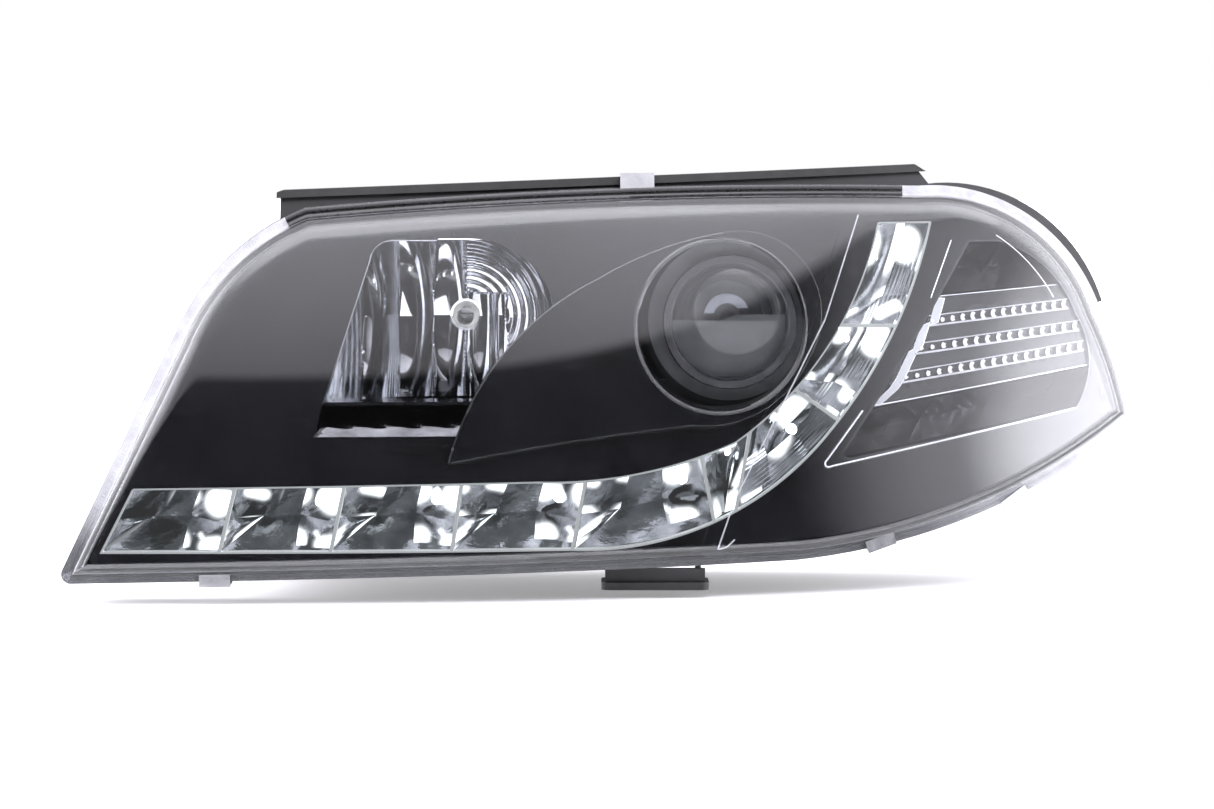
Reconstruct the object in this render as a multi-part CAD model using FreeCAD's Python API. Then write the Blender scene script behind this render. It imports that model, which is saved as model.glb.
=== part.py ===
"""Car headlight assembly, left-hand side of the car, built as separate pieces in millimetres.

+X runs outboard along the lamp, +Y runs back into the car, +Z is up. The clear cover, the trim, the light
strip and the housing all follow one swept and raked front surface, so most pieces are made by cutting a
flat outline (drawn in X and Z) between two copies of that surface. The high beam and the projector sit on
one aiming frame, which hangs on a trunnion and is set by two ball-ended screws.
"""
import FreeCAD, Part
import math
import os

V = FreeCAD.Vector

# ---- driving dimensions -------------------------------------------------------------------------------
SWEEP_START, SWEEP_SPAN, SWEEP_DEPTH, SWEEP_POWER = 40.0, 530.0, 190.0, 2.6
RAKE_HEIGHT, RAKE_DEPTH, RAKE_POWER = 200.0, 70.0, 1.6

COVER_WALL = 3.0                    # clear cover
COVER_DEPTH = 24.0                  # front face to the back of its flange
FLANGE, FLANGE_THICK = 4.5, 5.0     # how far the flange stands out from the cover's wall
TONGUE_DEPTH = 5.0
RIM_OUT = 2.0                       # housing rim outside the cover's flange
RIM_FRONT, RIM_BACK = 24.4, 36.0
TRAY_BACK = 62.0                    # back of the shallow outer part of the housing
WALL = 2.5
REAR = 245.0                        # outside face of the housing's rear wall
TRIM_FRONT, TRIM_BACK = 18.0, 20.5  # black trim sheet, behind the front surface
TRIM_INSET = 9.0

HIGH = (210.0, 135.0)               # X, Z of the high-beam axis
LOW = (350.0, 132.0)                # X, Z of the projector axis
SHROUD_RING = (345.0, 131.0, 43.5)  # X, Z and radius of the trim's sleeve round the projector
PIVOT = V(274.0, 165.0, 162.0)      # centre of the trunnion that carries the aiming frame
VERTICAL_BALL = V(274.0, 165.0, 45.0)
LATERAL_BALL = V(150.0, 165.0, 162.0)
BALL_R, SOCKET_GAP = 4.5, 0.4
PIN_R, RUNNING_GAP = 2.5, 0.05      # trunnion pins, and the clearance round every pin and screw
SCREW_R = 3.0
FRAME_FRONT, FRAME_BACK = 154.0, 157.5
CAP_HOLE_R, COLLAR_R, COLLAR_END = 40.0, 44.0, 262.0
LOCK_ANGLES = (30, 150, 270)        # where the caps' bayonet lugs sit round their collars

BOLT_R, BUSH_R = 3.3, 5.5           # clearance for M6, and the steel bush round it
UPPER_BOLT = V(440.0, 257.0, 181.0)
MIDDLE_BOLT = V(283.0, 257.0, 181.0)
INNER_BOLT = V(72.0, 245.0, 118.0)
LOWER_BOLT = V(310.0, 82.0, -1.0)
EAR_THICK = 5.0
ORIGIN = UPPER_BOLT

VENTS = ((112.0, 50.0), (400.0, 40.0))                          # X, Z of the breathers in the rear wall
HIGH_FRONT, HIGH_VERTEX, HIGH_FOCAL = 100.0, 150.0, 27.0        # the high beam's bowl, in Y
HIGH_ROOF = 178.5                                               # its flat top, clear of the housing's roof
HIGH_BOSSES = ((163.0, 127.0), (238.0, 168.0), (236.0, 101.0))
HIGH_BASE_Y, LOW_BASE_Y = 158.0, 200.0                          # Y of the faces that the bulbs seat on
WIRE_R, CLIP_WIDTH, CLIP_DROP, CLIP_RISE = 0.8, 9.5, 36.0, 17.0  # bulb clips
CLIP_BACK = 3.2                                                 # clip's plane behind the bulb's seat
LATERAL_KNOB_Y, VERTICAL_KNOB_Y = 250.0, 291.0
TUNNEL_END, TUNNEL_TOP = 88.0, 155.0                            # clear of the high beam when it is aimed
SLEEVE_END = 122.0
STEEL = 1.2                                                     # thickness of the cover's spring clips
CAP_R, CAP_FRONT, CAP_BACK = 50.0, 248.0, 267.0


# ---- the front surface and the helpers that cut pieces from it ----------------------------------------
def front_y(x, z):
    """Depth of the cover's outer face at a point of the outline plane."""
    sweep = SWEEP_DEPTH * (max(0.0, x - SWEEP_START) / SWEEP_SPAN) ** SWEEP_POWER
    rake = RAKE_DEPTH * (max(0.0, z) / RAKE_HEIGHT) ** RAKE_POWER
    return sweep + rake


def front_surface():
    columns, rows = 22, 10
    x0, x1, z0, z1 = -30.0, 620.0, -40.0, 250.0
    grid = [[V(x, front_y(x, z), z)
             for z in [z0 + (z1 - z0) * j / (rows - 1) for j in range(rows)]]
            for x in [x0 + (x1 - x0) * i / (columns - 1) for i in range(columns)]]
    surface = Part.BSplineSurface()
    surface.interpolate(grid)
    return surface.toShape()


FRONT = front_surface()


def outline(start, *steps):
    """Closed flat face. A step is an end point, or a pair (point on the arc, end point)."""
    edges, here = [], V(start[0], 0, start[1])
    for step in steps + (start,):
        if isinstance(step[0], tuple):
            via, end = V(step[0][0], 0, step[0][1]), V(step[1][0], 0, step[1][1])
            edges.append(Part.Arc(here, via, end).toShape())
        else:
            end = V(step[0], 0, step[1])
            if (end - here).Length > 1e-6:
                edges.append(Part.LineSegment(here, end).toShape())
        here = end
    return Part.Face(Part.Wire(edges))


def grow(face, distance):
    return Part.Face(face.makeOffset2D(distance).OuterWire)


def rounded(face, radius):
    return grow(grow(face, -radius), radius)


def prism(face, y0, y1):
    return face.translated(V(0, y0, 0)).extrude(V(0, y1 - y0, 0))


def slab(near, far):
    return FRONT.translated(V(0, near, 0)).extrude(V(0, far - near, 0))


def between(face, near, far):
    """The outline cut between two depths behind the front surface."""
    return prism(face, -60, 420).common(slab(near, far))


def ring_of(face, outer, inner, near, far):
    return between(grow(face, outer), near, far).cut(between(grow(face, inner), near - 1, far + 1))


def rectangle(cx, cz, width, height, angle=0.0):
    """Flat rectangle in the outline plane, turned by angle degrees."""
    c, s = math.cos(math.radians(angle)), math.sin(math.radians(angle))
    half = ((-width, -height), (width, -height), (width, height), (-width, height))
    corners = [(cx + (c * a - s * b) / 2, cz + (s * a + c * b) / 2) for a, b in half]
    return outline(*corners)


def box(x0, x1, y0, y1, z0, z1):
    return Part.makeBox(x1 - x0, y1 - y0, z1 - z0, V(x0, y0, z0))


def rod_x(y, z, radius, x0, x1):
    return Part.makeCylinder(radius, x1 - x0, V(x0, y, z), V(1, 0, 0))


def rod_y(x, z, radius, y0, y1):
    return Part.makeCylinder(radius, y1 - y0, V(x, y0, z), V(0, 1, 0))


def rod_z(x, y, radius, z0, z1):
    return Part.makeCylinder(radius, z1 - z0, V(x, y, z0))


def tube_y(x, z, outer, inner, y0, y1):
    return rod_y(x, z, outer, y0, y1).cut(rod_y(x, z, inner, y0 - 1, y1 + 1))


def revolve_y(points, x, z):
    """Solid of revolution about the Y axis through (x, z). Points are (radius, y), in order round."""
    path = [V(x + r, y, z) for r, y in points]
    return Part.Face(Part.makePolygon(path + [path[0]])).revolve(V(x, 0, z), V(0, 1, 0), 360)


def bowl_front(curve_points, x, z, y_front):
    """Everything in front of a smooth bowl, whose profile is (radius, y) from the axis outwards."""
    curve = Part.BSplineCurve()
    curve.interpolate([V(x + r, y, z) for r, y in curve_points])
    r_end, y_end = curve_points[-1]
    y_middle = curve_points[0][1]
    corners = [V(x + r_end, y_end, z), V(x + r_end, y_front, z), V(x, y_front, z), V(x, y_middle, z)]
    edges = [curve.toShape()] + [Part.LineSegment(a, b).toShape() for a, b in zip(corners, corners[1:])]
    return Part.Face(Part.Wire(edges)).revolve(V(x, 0, z), V(0, 1, 0), 360)


def sector(x, z, middle, width, y0, y1, radius=70.0):
    """Wedge about a Y axis, for cutting arcs out of rings."""
    ends = [math.radians(middle - width / 2), math.radians(middle + width / 2)]
    corners = [(x, z)] + [(x + radius * math.cos(t), z + radius * math.sin(t)) for t in ends]
    return prism(outline(*corners), y0, y1)


def fuse(first, *others):
    return first.multiFuse(list(others)).removeSplitter()


def cut_all(shape, *tools):
    for tool in tools:
        shape = shape.cut(tool)
    return shape


def save(name, shape):
    os.makedirs("parts", exist_ok=True)
    solids = shape.Solids
    for solid in solids:
        if not solid.isValid() or solid.Volume <= 0:
            print("CHECK THIS SOLID:", name, solid.Volume)
    Part.makeCompound(solids).translated(-ORIGIN).exportStep("parts/" + name + ".step")
    print(f"{name:24s} {len(solids):3d} solids {sum(s.Volume for s in solids) / 1000:9.2f} cm3")


# ---- outlines, as (X, Z) ------------------------------------------------------------------------------
COVER = rounded(outline((5, 3), (62, 125), ((91, 168), (128, 191.5)), ((281, 200.8), (453, 201.5)),
                        ((520, 181.5), (553.6, 135)), ((566, 104), (573, 76)),
                        ((493.6, 34.4), (385, 10.5)), ((200, 6.5), (5, 3))), 3)
BACK_BOX = rounded(outline((84, 20), (94, 112), ((107, 150), (138, 184.5)), (452, 190.5),
                           ((467, 186), (472, 170)), (472, 75), ((458, 43), (415, 29)), (330, 20)), 8)
SHOULDER = outline((456, 203.5), ((524, 186.0), (557, 139)), (546, 136), (470, 190))
HIGH_OPENING = outline((139, 92), (161, 166), ((164.5, 173.5), (173, 177)), (212, 177),
                       ((247, 161.5), (258, 140)), ((256, 112), (240, 92)))
STRIP = outline((25, 17), (267, 17), ((341, 29.5), (403, 75)), ((436, 122), (460, 184)), (430, 184),
                ((400.5, 118), (352, 71)), ((303, 56.3), (250, 52.5)), (41.5, 50))
STRIP_DIVIDERS = ((94, 50, 86, 16), (150, 51, 143, 16), (210, 52, 205, 16), (274, 55, 267, 16),
                  (334, 64, 341, 28), (364, 84, 352, 34), (384, 99, 408, 84), (408, 137, 440, 133))
STRIP_CHIPS = ((80, 40), (139, 40), (197, 42), (258, 45), (318, 49), (347, 62), (381, 76), (399, 96),
               (411, 122), (425, 118), (428, 166), (446, 166))
INDICATOR = rounded(outline((404, 58), (540, 81), ((549, 108), (542, 133)), ((526, 158), (497, 174)),
                            (480, 174), ((444, 116), (404, 58))), 2)
LIGHT_BARS = outline((427, 89), (541, 105), (534, 146.5), (462, 141)).common(grow(INDICATOR, -2.0)).Faces[0]
SHROUD = outline((203, 62), ((226, 111), (280, 156)), ((312, 171), (350, 180)), ((396, 152), (392, 114)),
                 ((372, 90), (330, 80)), ((268, 73), (203, 62)))


# ---- cover and housing --------------------------------------------------------------------------------
def lens_cover():
    wall = between(grow(COVER, -FLANGE), 0, COVER_DEPTH)
    flange = between(COVER, COVER_DEPTH - FLANGE_THICK, COVER_DEPTH)
    tongue = ring_of(COVER, -2.0, -5.0, COVER_DEPTH - 1, COVER_DEPTH + TONGUE_DEPTH)
    hollow = between(grow(COVER, -FLANGE - COVER_WALL), COVER_WALL, COVER_DEPTH + TONGUE_DEPTH + 1)
    lug = between(rectangle(58, 119, 9, 6, 64), COVER_DEPTH - FLANGE_THICK, COVER_DEPTH)
    return fuse(wall, flange, tongue, lug).cut(hollow)


def lens_seal():
    return ring_of(COVER, -1.6, -5.4, COVER_DEPTH + TONGUE_DEPTH + 0.2, 33.0)


def housing():
    rim = between(grow(COVER, RIM_OUT), RIM_FRONT, RIM_BACK)
    tray = between(grow(COVER, -5.5), RIM_FRONT, TRAY_BACK)
    deep = prism(BACK_BOX, -60, REAR).common(slab(TRAY_BACK - WALL, 400))
    solid = fuse(rim, between(SHOULDER, RIM_FRONT, RIM_BACK), tray, deep)
    inside = prism(grow(BACK_BOX, -WALL), -60, REAR - WALL).common(slab(20, 400))
    solid = cut_all(solid, between(grow(COVER, -8.0), 20, TRAY_BACK - WALL), inside,
                    ring_of(COVER, -1.2, -5.8, RIM_FRONT - 1, 33.0))
    collars = [rod_y(x, z, COLLAR_R, REAR - WALL, COLLAR_END) for x, z in (HIGH, LOW)]
    lugs = [bayonet_lug(x, z, COLLAR_R - 1, COLLAR_R + 2.6, turn, 254, 258)
            for x, z in (HIGH, LOW) for turn in LOCK_ANGLES]
    seats = [rod_y(VERTICAL_BALL.x, VERTICAL_BALL.z, 14, REAR - WALL, REAR + 3),
             rod_y(LATERAL_BALL.x, LATERAL_BALL.z, 9, REAR - WALL, REAR + 2)]
    solid = fuse(solid, *collars, *lugs, *seats, *ears(), *ribs())
    for x, z in (HIGH, LOW):
        solid = solid.cut(rod_y(x, z, CAP_HOLE_R, REAR - 20, COLLAR_END + 1))
    solid = cut_all(solid, rod_y(VERTICAL_BALL.x, VERTICAL_BALL.z, 8, REAR - 20, REAR + 5),
                    rod_y(LATERAL_BALL.x, LATERAL_BALL.z, 6, REAR - 20, REAR + 5),
                    box(424, 448, REAR - 10, REAR + 2, 144, 156),
                    rod_y(INNER_BOLT.x, INNER_BOLT.z, BUSH_R, 220, 260), motor_seal())
    for bolt in (UPPER_BOLT, MIDDLE_BOLT):
        solid = solid.cut(rod_z(bolt.x, bolt.y, BUSH_R, bolt.z - 12, bolt.z + 5))
    for x, z in VENTS:
        solid = solid.cut(rod_y(x, z, 5, REAR - 10, REAR + 5))
    return solid


def housing_mouldings():
    """The housing as its three mouldings, which are welded to each other: front frame, body and rear wall."""
    whole = housing()
    front_part = slab(0, TRAY_BACK)
    behind = whole.cut(front_part)
    rear_part = box(0, 473, REAR - EAR_THICK, 300, -30, 240)
    return whole.common(front_part), behind.cut(rear_part), behind.common(rear_part)


def bayonet_lug(x, z, inner, outer, turn, y0, y1):
    """Locking lug, 26 degrees long."""
    return tube_y(x, z, outer, inner, y0, y1).common(sector(x, z, turn, 26, y0 - 1, y1 + 1))


def ears():
    """Mounting ears: two flat ones behind the rear top edge, one upright at the inner side."""
    made = []
    for bolt in (UPPER_BOLT, MIDDLE_BOLT):
        low = bolt.z - EAR_THICK
        made.append(box(bolt.x - 12, bolt.x + 12, REAR - 2, bolt.y, low, bolt.z))
        made.append(rod_z(bolt.x, bolt.y, 12, low, bolt.z))
        for side in (-12, 10):
            corners = [V(bolt.x + side, REAR - 1, low - 16), V(bolt.x + side, REAR - 1, low + 1),
                       V(bolt.x + side, bolt.y, low + 1)]
            made.append(Part.Face(Part.makePolygon(corners + [corners[0]])).extrude(V(2, 0, 0)))
    made.append(box(INNER_BOLT.x, 112, REAR - EAR_THICK, REAR, INNER_BOLT.z - 10, INNER_BOLT.z + 10))
    made.append(rod_y(INNER_BOLT.x, INNER_BOLT.z, 10, REAR - EAR_THICK, REAR))
    return made


def ribs():
    """Stiffening ribs on the rear wall."""
    upright = [box(x, x + 2, REAR - 1, REAR + 4, z0, z1)
               for x, z0, z1 in ((126, 74, 150), (176, 30, 84), (206, 28, 84), (330, 28, 80), (372, 32, 82))]
    return upright + [box(100, 158, REAR - 1, REAR + 4, 80, 82), box(322, 392, REAR - 1, REAR + 4, 56, 58)]


def vent_caps():
    """Rubber breather caps pressed into the rear wall."""
    made = []
    for x, z in VENTS:
        stem = rod_y(x, z, 5, REAR - WALL, REAR)
        inner = REAR - WALL
        barb = revolve_y([(3, inner - 2), (4.6, inner - 2), (5.8, inner), (3, inner)], x, z)
        hood = revolve_y([(3, REAR), (9, REAR), (9, REAR + 8), (7.5, REAR + 10), (3, REAR + 10)], x, z)
        made.append(fuse(stem, barb, hood).cut(rod_y(x, z, 2.2, REAR - 8, REAR + 6)))
    return Part.makeCompound(made)


def mount_bushes():
    """Steel compression bushes in the three housing ears."""
    made = []
    for bolt in (UPPER_BOLT, MIDDLE_BOLT):
        bush = rod_z(bolt.x, bolt.y, BUSH_R, bolt.z - EAR_THICK, bolt.z)
        made.append(bush.cut(rod_z(bolt.x, bolt.y, BOLT_R, bolt.z - 10, bolt.z + 5)))
    made.append(tube_y(INNER_BOLT.x, INNER_BOLT.z, BUSH_R, BOLT_R, REAR - EAR_THICK, REAR))
    return Part.makeCompound(made)


def lower_bracket():
    """Foot under the housing, with a hole for the lower bolt."""
    foot = rounded_plate(LOWER_BOLT.x - 28, LOWER_BOLT.x + 28, 58, 94, -5, -1, 6)
    web = box(LOWER_BOLT.x - 26, LOWER_BOLT.x + 26, 62, 68, -3, 6).cut(prism(grow(COVER, RIM_OUT), -60, 300))
    gussets = [box(x, x + 3, 62, 90, -3, 6).cut(prism(grow(COVER, RIM_OUT), -60, 300))
               for x in (LOWER_BOLT.x - 24, LOWER_BOLT.x + 21)]
    return fuse(foot, web, *gussets).cut(rod_z(LOWER_BOLT.x, LOWER_BOLT.y, BOLT_R, -20, 20))


def rounded_plate(x0, x1, y0, y1, z0, z1, radius):
    plate = box(x0, x1, y0, y1, z0, z1)
    return plate.makeFillet(radius, [e for e in plate.Edges if e.BoundBox.ZLength > z1 - z0 - 0.01])


def top_line(x):
    """Height of the straight top edge of the rail above the cover."""
    return 202.0 + 12.5 * (x - 114) / 340


def top_rail():
    strip = outline((114, 184), (114, top_line(114) - 4), (454, top_line(454) - 4), (460, 203), (440, 190))
    return between(strip, 27, 42).cut(prism(grow(COVER, RIM_OUT), -60, 400))


def hood_seal():
    strip = outline((112, top_line(112) - 4), (112, top_line(112) - 1), (115, top_line(115)),
                    (452, top_line(452)), (458, top_line(458) - 4))
    return between(strip, 25, 43)


def lens_clips():
    """Spring-steel clips that squeeze the cover's flange onto the housing's rim."""
    edges = ((84, 1.4, -89), (430, 14.6, -73), (505, 34.3, -57))
    clips = [edge_clip(x, z, angle, 5.0) for x, z, angle in edges]
    x, width, near, far = 301, 18, 17.6, 46
    top = top_line(x)
    over = fuse(between(rectangle(x, top + 0.9, width, STEEL), near, far),
                between(rectangle(x, top - 5, width, 13), near, near + STEEL),
                between(rectangle(x, top - 4, width, 11), far - STEEL, far))
    return Part.makeCompound(clips + [over])


def edge_clip(x, z, angle, reach):
    """C-shaped clip. (x, z) lies on the rim's edge and angle is the direction that the edge faces."""
    out = V(math.cos(math.radians(angle)), 0, math.sin(math.radians(angle)))
    near, far = 17.6, 37.6

    def leaf(centre, thick, y0, y1):
        return between(rectangle(x + out.x * centre, z + out.z * centre, thick, 16, angle), y0, y1)
    clip = fuse(leaf(0.9, STEEL, near, far), leaf(-reach / 2 + 0.7, reach + 1.4, near, near + STEEL),
                leaf(-reach / 2 + 0.7, reach + 1.4, far - STEEL, far))
    return clip.cut(between(grow(COVER, RIM_OUT), near + STEEL, far - STEEL))


# ---- trim and lights in front of the housing ----------------------------------------------------------
def trim_bezel():
    """Black sheet behind the cover, on five legs that stand on the housing's tray."""
    sheet = between(grow(COVER, -TRIM_INSET), TRIM_FRONT, TRIM_BACK)
    x, z, radius = SHROUD_RING
    sheet = cut_all(sheet, prism(HIGH_OPENING, -60, 300), rod_y(x, z, radius, -60, 300),
                    prism(grow(STRIP, 0.4), -60, 300), prism(grow(INDICATOR, 0.4), -60, 300))
    edge = ring_of(COVER, -TRIM_INSET, -TRIM_INSET - 2, TRIM_BACK - 1, TRAY_BACK - WALL)
    spans = ((20, 90, 66, 92), (172, 190, 150, 220), (318, 336, 150, 220),
             (424, 442, 170, 220), (424, 444, 0, 50))
    return fuse(sheet, *[edge.common(box(x0, x1, -60, 400, z0, z1)) for x0, x1, z0, z1 in spans])


def high_beam_tunnel():
    """Side and lower walls from the trim back towards the high beam."""
    tunnel = prism(grow(HIGH_OPENING, 2), -60, TUNNEL_END).common(slab(TRIM_BACK, 300))
    return tunnel.common(box(0, 400, -60, 400, 0, TUNNEL_TOP)).cut(prism(HIGH_OPENING, -60, 300))


def projector_sleeve():
    x, z, radius = SHROUD_RING
    return tube_y(x, z, radius + 2.2, radius, -60, SLEEVE_END).common(slab(TRIM_BACK, 300))


def projector_shroud():
    """Raised black panel that sweeps round the projector, clipped onto the trim."""
    x, z, radius = SHROUD_RING
    panel = between(SHROUD, 14.0, 17.9).cut(rod_y(x, z, radius, -60, 300))
    return panel.cut(prism(grow(HIGH_OPENING, 1.0), -60, 300)).cut(prism(grow(STRIP, 0.6), -60, 300))


def strip_cells():
    """The strip cut into cells along its dividers, each a flat face."""
    lines = [rectangle((a + c) / 2, (b + d) / 2, 1.2, math.hypot(a - c, b - d) + 30,
                       math.degrees(math.atan2(b - d, a - c)) - 90) for a, b, c, d in STRIP_DIVIDERS]
    pockets = grow(STRIP, -1.6)
    for line in lines:
        pockets = pockets.cut(line)
    return pockets.Faces


def drl_reflector():
    body = between(STRIP, 18.6, 44)
    for cell in strip_cells():
        body = body.cut(between(cell, 17, 42))
    for x, z in STRIP_CHIPS:
        body = body.cut(rod_y(x, z, 2.6, -60, 300))
    return body


def drl_board():
    """Circuit board behind the strip."""
    return between(grow(STRIP, -0.5), 44.2, 45.8)


def drl_leds():
    return Part.makeCompound([between(rectangle(x, z, 3.2, 3.2), 40.6, 44.2) for x, z in STRIP_CHIPS])


def indicator_reflector():
    body = between(INDICATOR, 18.6, 52)
    pocket = between(grow(INDICATOR, -1.5), 17, 50)
    return body.cut(pocket)


def bar_rows():
    """Three rows across the light bars, from bottom to top: ends and number of lamps."""
    rows = []
    for share, count in ((0.17, 17), (0.5, 15), (0.83, 14)):
        left = V(427 + 35 * share, 0, 89 + 52 * share)
        right = V(541 - 7 * share, 0, 105 + 41.5 * share)
        rows.append((left + (right - left) * 0.08, left + (right - left) * 0.96, count))
    return rows


def lamp_places():
    return [left + (right - left) * (i / (count - 1))
            for left, right, count in bar_rows() for i in range(count)]


def indicator_light_bars():
    """Clear block with three ledges, in front of the indicator's lamps."""
    block = between(LIGHT_BARS, 21, 30)
    for left, right, _ in bar_rows():
        middle = (left + right) * 0.5
        angle = math.degrees(math.atan2(right.z - left.z, right.x - left.x))
        groove = rectangle(middle.x, middle.z - 1.0, (right - left).Length, 5.0, angle)
        block = block.cut(between(groove, 26, 31))
    return block


def indicator_board():
    return between(grow(LIGHT_BARS, -1.0), 38, 39.6)


def indicator_leds():
    return Part.makeCompound([between(rectangle(p.x, p.z, 2.0, 2.6), 34.5, 38) for p in lamp_places()])


def indicator_pillars():
    """Posts that hold the light bars and their board off the chamber's floor."""
    made = []
    for x, z in ((440, 92), (534, 110), (529, 141), (468, 137)):
        disc = Part.Face(Part.Wire(Part.makeCircle(2.2, V(x, 0, z), V(0, 1, 0))))
        made.append(between(disc, 39.6, 50))
    return Part.makeCompound(made)


# ---- aiming frame and what it carries -----------------------------------------------------------------
def aiming_frame():
    """Steel plate with a ring for each light, arms to the ball sockets and ears for the trunnion."""
    arms = ((250, 312, 126, 172), (266, 282, 37, 130), (142, 180, 154, 170),
            (220, 268, 84, 100), (280, 326, 84, 100))
    plate = [tube_y(*HIGH, 56, 30, FRAME_FRONT, FRAME_BACK), tube_y(*LOW, 46, 36, FRAME_FRONT, FRAME_BACK)]
    plate += [box(x0, x1, FRAME_FRONT, FRAME_BACK, z0, z1) for x0, x1, z0, z1 in arms]
    stiffeners = [box(266, 268, FRAME_BACK - 0.5, FRAME_BACK + 5, 56, 150),
                  box(280, 282, FRAME_BACK - 0.5, FRAME_BACK + 5, 56, 150)]
    ear_face = outline((157.0, 156.5), (165, 156.5), ((170.5, 162), (165, 167.5)), (157.0, 167.5))
    turned = ear_face.copy()
    turned.rotate(V(0, 0, 0), V(0, 0, 1), 90)
    pivot_ears = [turned.translated(V(x, 0, 0)).extrude(V(4, 0, 0)) for x in (PIVOT.x - 10.3, PIVOT.x + 6.3)]
    solid = fuse(*plate, *stiffeners, *pivot_ears).common(prism(grow(BACK_BOX, -9), 100, 200))
    solid = cut_all(solid, rod_x(PIVOT.y, PIVOT.z, PIN_R + RUNNING_GAP, PIVOT.x - 20, PIVOT.x + 20),
                    rod_y(*HIGH, 30, 150, 160), rod_y(*LOW, 36, 150, 160))
    return solid


def ball_sockets():
    """Nylon cups on the aiming frame, open at the back for the screws."""
    made = []
    for centre in (VERTICAL_BALL, LATERAL_BALL):
        cup = rod_y(centre.x, centre.z, 8, FRAME_BACK, centre.y + 3)
        cup = cup.cut(Part.makeSphere(BALL_R + SOCKET_GAP, centre))
        made.append(cup.cut(rod_y(centre.x, centre.z, 4.0, centre.y, centre.y + 6)))
    return Part.makeCompound(made)


def parabola(focal, vertex, reach, back=0.0):
    return [(r, vertex + back - r * r / (4 * focal)) for r in [reach * i / 8 for i in range(9)]]


def high_reflector():
    """Open-fronted reflector: a parabolic bowl with flat side walls, bosses, neck and clip eye behind."""
    front, vertex = HIGH_FRONT, HIGH_VERTEX
    low_roof = box(0, 400, 0, 400, 0, HIGH_ROOF)
    block = prism(grow(HIGH_OPENING, 4), front, vertex + 4).common(low_roof)
    block = block.common(bowl_front(parabola(HIGH_FOCAL, vertex, 95, 3.0), *HIGH, front - 60))
    bosses = [rod_y(x, z, 4, front + 10, FRAME_FRONT) for x, z in HIGH_BOSSES]
    neck = rod_y(*HIGH, 17, vertex - 4, HIGH_BASE_Y)
    body = fuse(block, neck, *bosses, clip_eye(HIGH, HIGH_BASE_Y, HIGH_BASE_Y - 1))
    bowl = bowl_front(parabola(HIGH_FOCAL, vertex, 95), *HIGH, front - 70)
    hollow = prism(grow(HIGH_OPENING, 1.5), front - 5, vertex + 5)
    hollow = hollow.common(low_roof.translated(V(0, 0, -WALL))).common(bowl)
    return cut_all(body, hollow, rod_y(*HIGH, 12.7, HIGH_BASE_Y - 0.1, 170), rod_y(*HIGH, 7.2, 100, 170),
                   eye_hole(HIGH, HIGH_BASE_Y))


def bulb(axis, y_base, glass_length):
    """Quartz envelope and metal base with its locating disc, pushed in from behind."""
    x, z = axis
    glass = rod_y(x, z, 4.6, y_base - glass_length, y_base + 2)
    tip = Part.makeSphere(4.6, V(x, y_base - glass_length, z))
    blade = box(x - 3.2, x + 3.2, y_base + 6, y_base + 13, z - 0.4, z + 0.4)
    base = fuse(rod_y(x, z, 7, y_base - 8, y_base), rod_y(x, z, 12.5, y_base, y_base + 1.5),
                rod_y(x, z, 8, y_base + 1.5, y_base + 7), blade)
    glass = fuse(glass, tip)
    return glass, base.cut(glass)


def bulb_plug(axis, y_base):
    """Lead connector pushed onto the bulb's blade."""
    x, z = axis
    plug = box(x - 6, x + 6, y_base + 7.2, y_base + 22, z - 5, z + 5)
    plug = plug.makeFillet(1.5, [e for e in plug.Edges if e.BoundBox.YLength > 14])
    return plug.cut(box(x - 3.3, x + 3.3, y_base + 7, y_base + 14, z - 0.5, z + 0.5))


def projector_lens():
    """Plano-convex lens with a thin flange."""
    x, z = LOW
    front = [(0.0, 112.0), (12.0, 113.2), (22.0, 116.6), (28.0, 120.4), (31.0, 123.8)]
    return fuse(bowl_front(front, x, z, 127.0), rod_y(x, z, 32.5, 124.5, 127.0))


def projector_lens_ring():
    x, z = LOW
    return revolve_y([(31.4, 120.5), (35.0, 120.5), (35.5, 121.5), (35.5, 131.0), (34.0, 131.0), (34.0, 127.0),
                      (32.7, 127.0), (32.7, 124.3), (31.4, 124.3)], x, z)


def projector_barrel():
    x, z = LOW
    return revolve_y([(30.5, 127.2), (33.9, 127.2), (33.9, 133), (35, 140), (35, 150.4), (43, 150.4),
                      (43, FRAME_FRONT), (35.6, FRAME_FRONT), (35.6, 158), (32.5, 158), (30.5, 135)], x, z)


def cutoff_shield():
    """Screen across the lower half of the beam, with the step that shapes it."""
    x, z = LOW
    edge = outline((x - 30, z), (x - 4, z), (x + 4, z + 3), (x + 30, z + 3), (x + 30, z - 30), (x - 30, z - 30))
    return prism(edge, 146, 147.2).common(rod_y(x, z, 31.4, 140, 150))


def projector_reflector():
    """Ellipsoidal bowl behind the frame, with the bulb seat at its back."""
    x, z = LOW
    outer = [(35.4, 158.2), (34.5, 166), (31.5, 176), (27, 185), (20, 193.5), (15, 197)]
    inner = [(12.5, 197), (18, 191), (24.5, 182.8), (29, 174.5), (31.8, 165), (32.6, 158.2)]
    neck = [(15, LOW_BASE_Y), (7.4, LOW_BASE_Y), (7.4, 197)]
    shell = fuse(revolve_y(outer + neck + inner, x, z), clip_eye(LOW, LOW_BASE_Y, 195.0))
    return cut_all(shell, rod_y(x, z, 12.4, 190, 196.8), eye_hole(LOW, LOW_BASE_Y))


def carrier_screws():
    """Three screws in the high beam's bosses and three round the projector."""
    turns = [math.radians(t) for t in (70, 190, 310)]
    places = list(HIGH_BOSSES) + [(LOW[0] + 40 * math.cos(t), LOW[1] + 40 * math.sin(t)) for t in turns]
    return Part.makeCompound([pan_screw(x, FRAME_BACK, z) for x, z in places])


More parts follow.
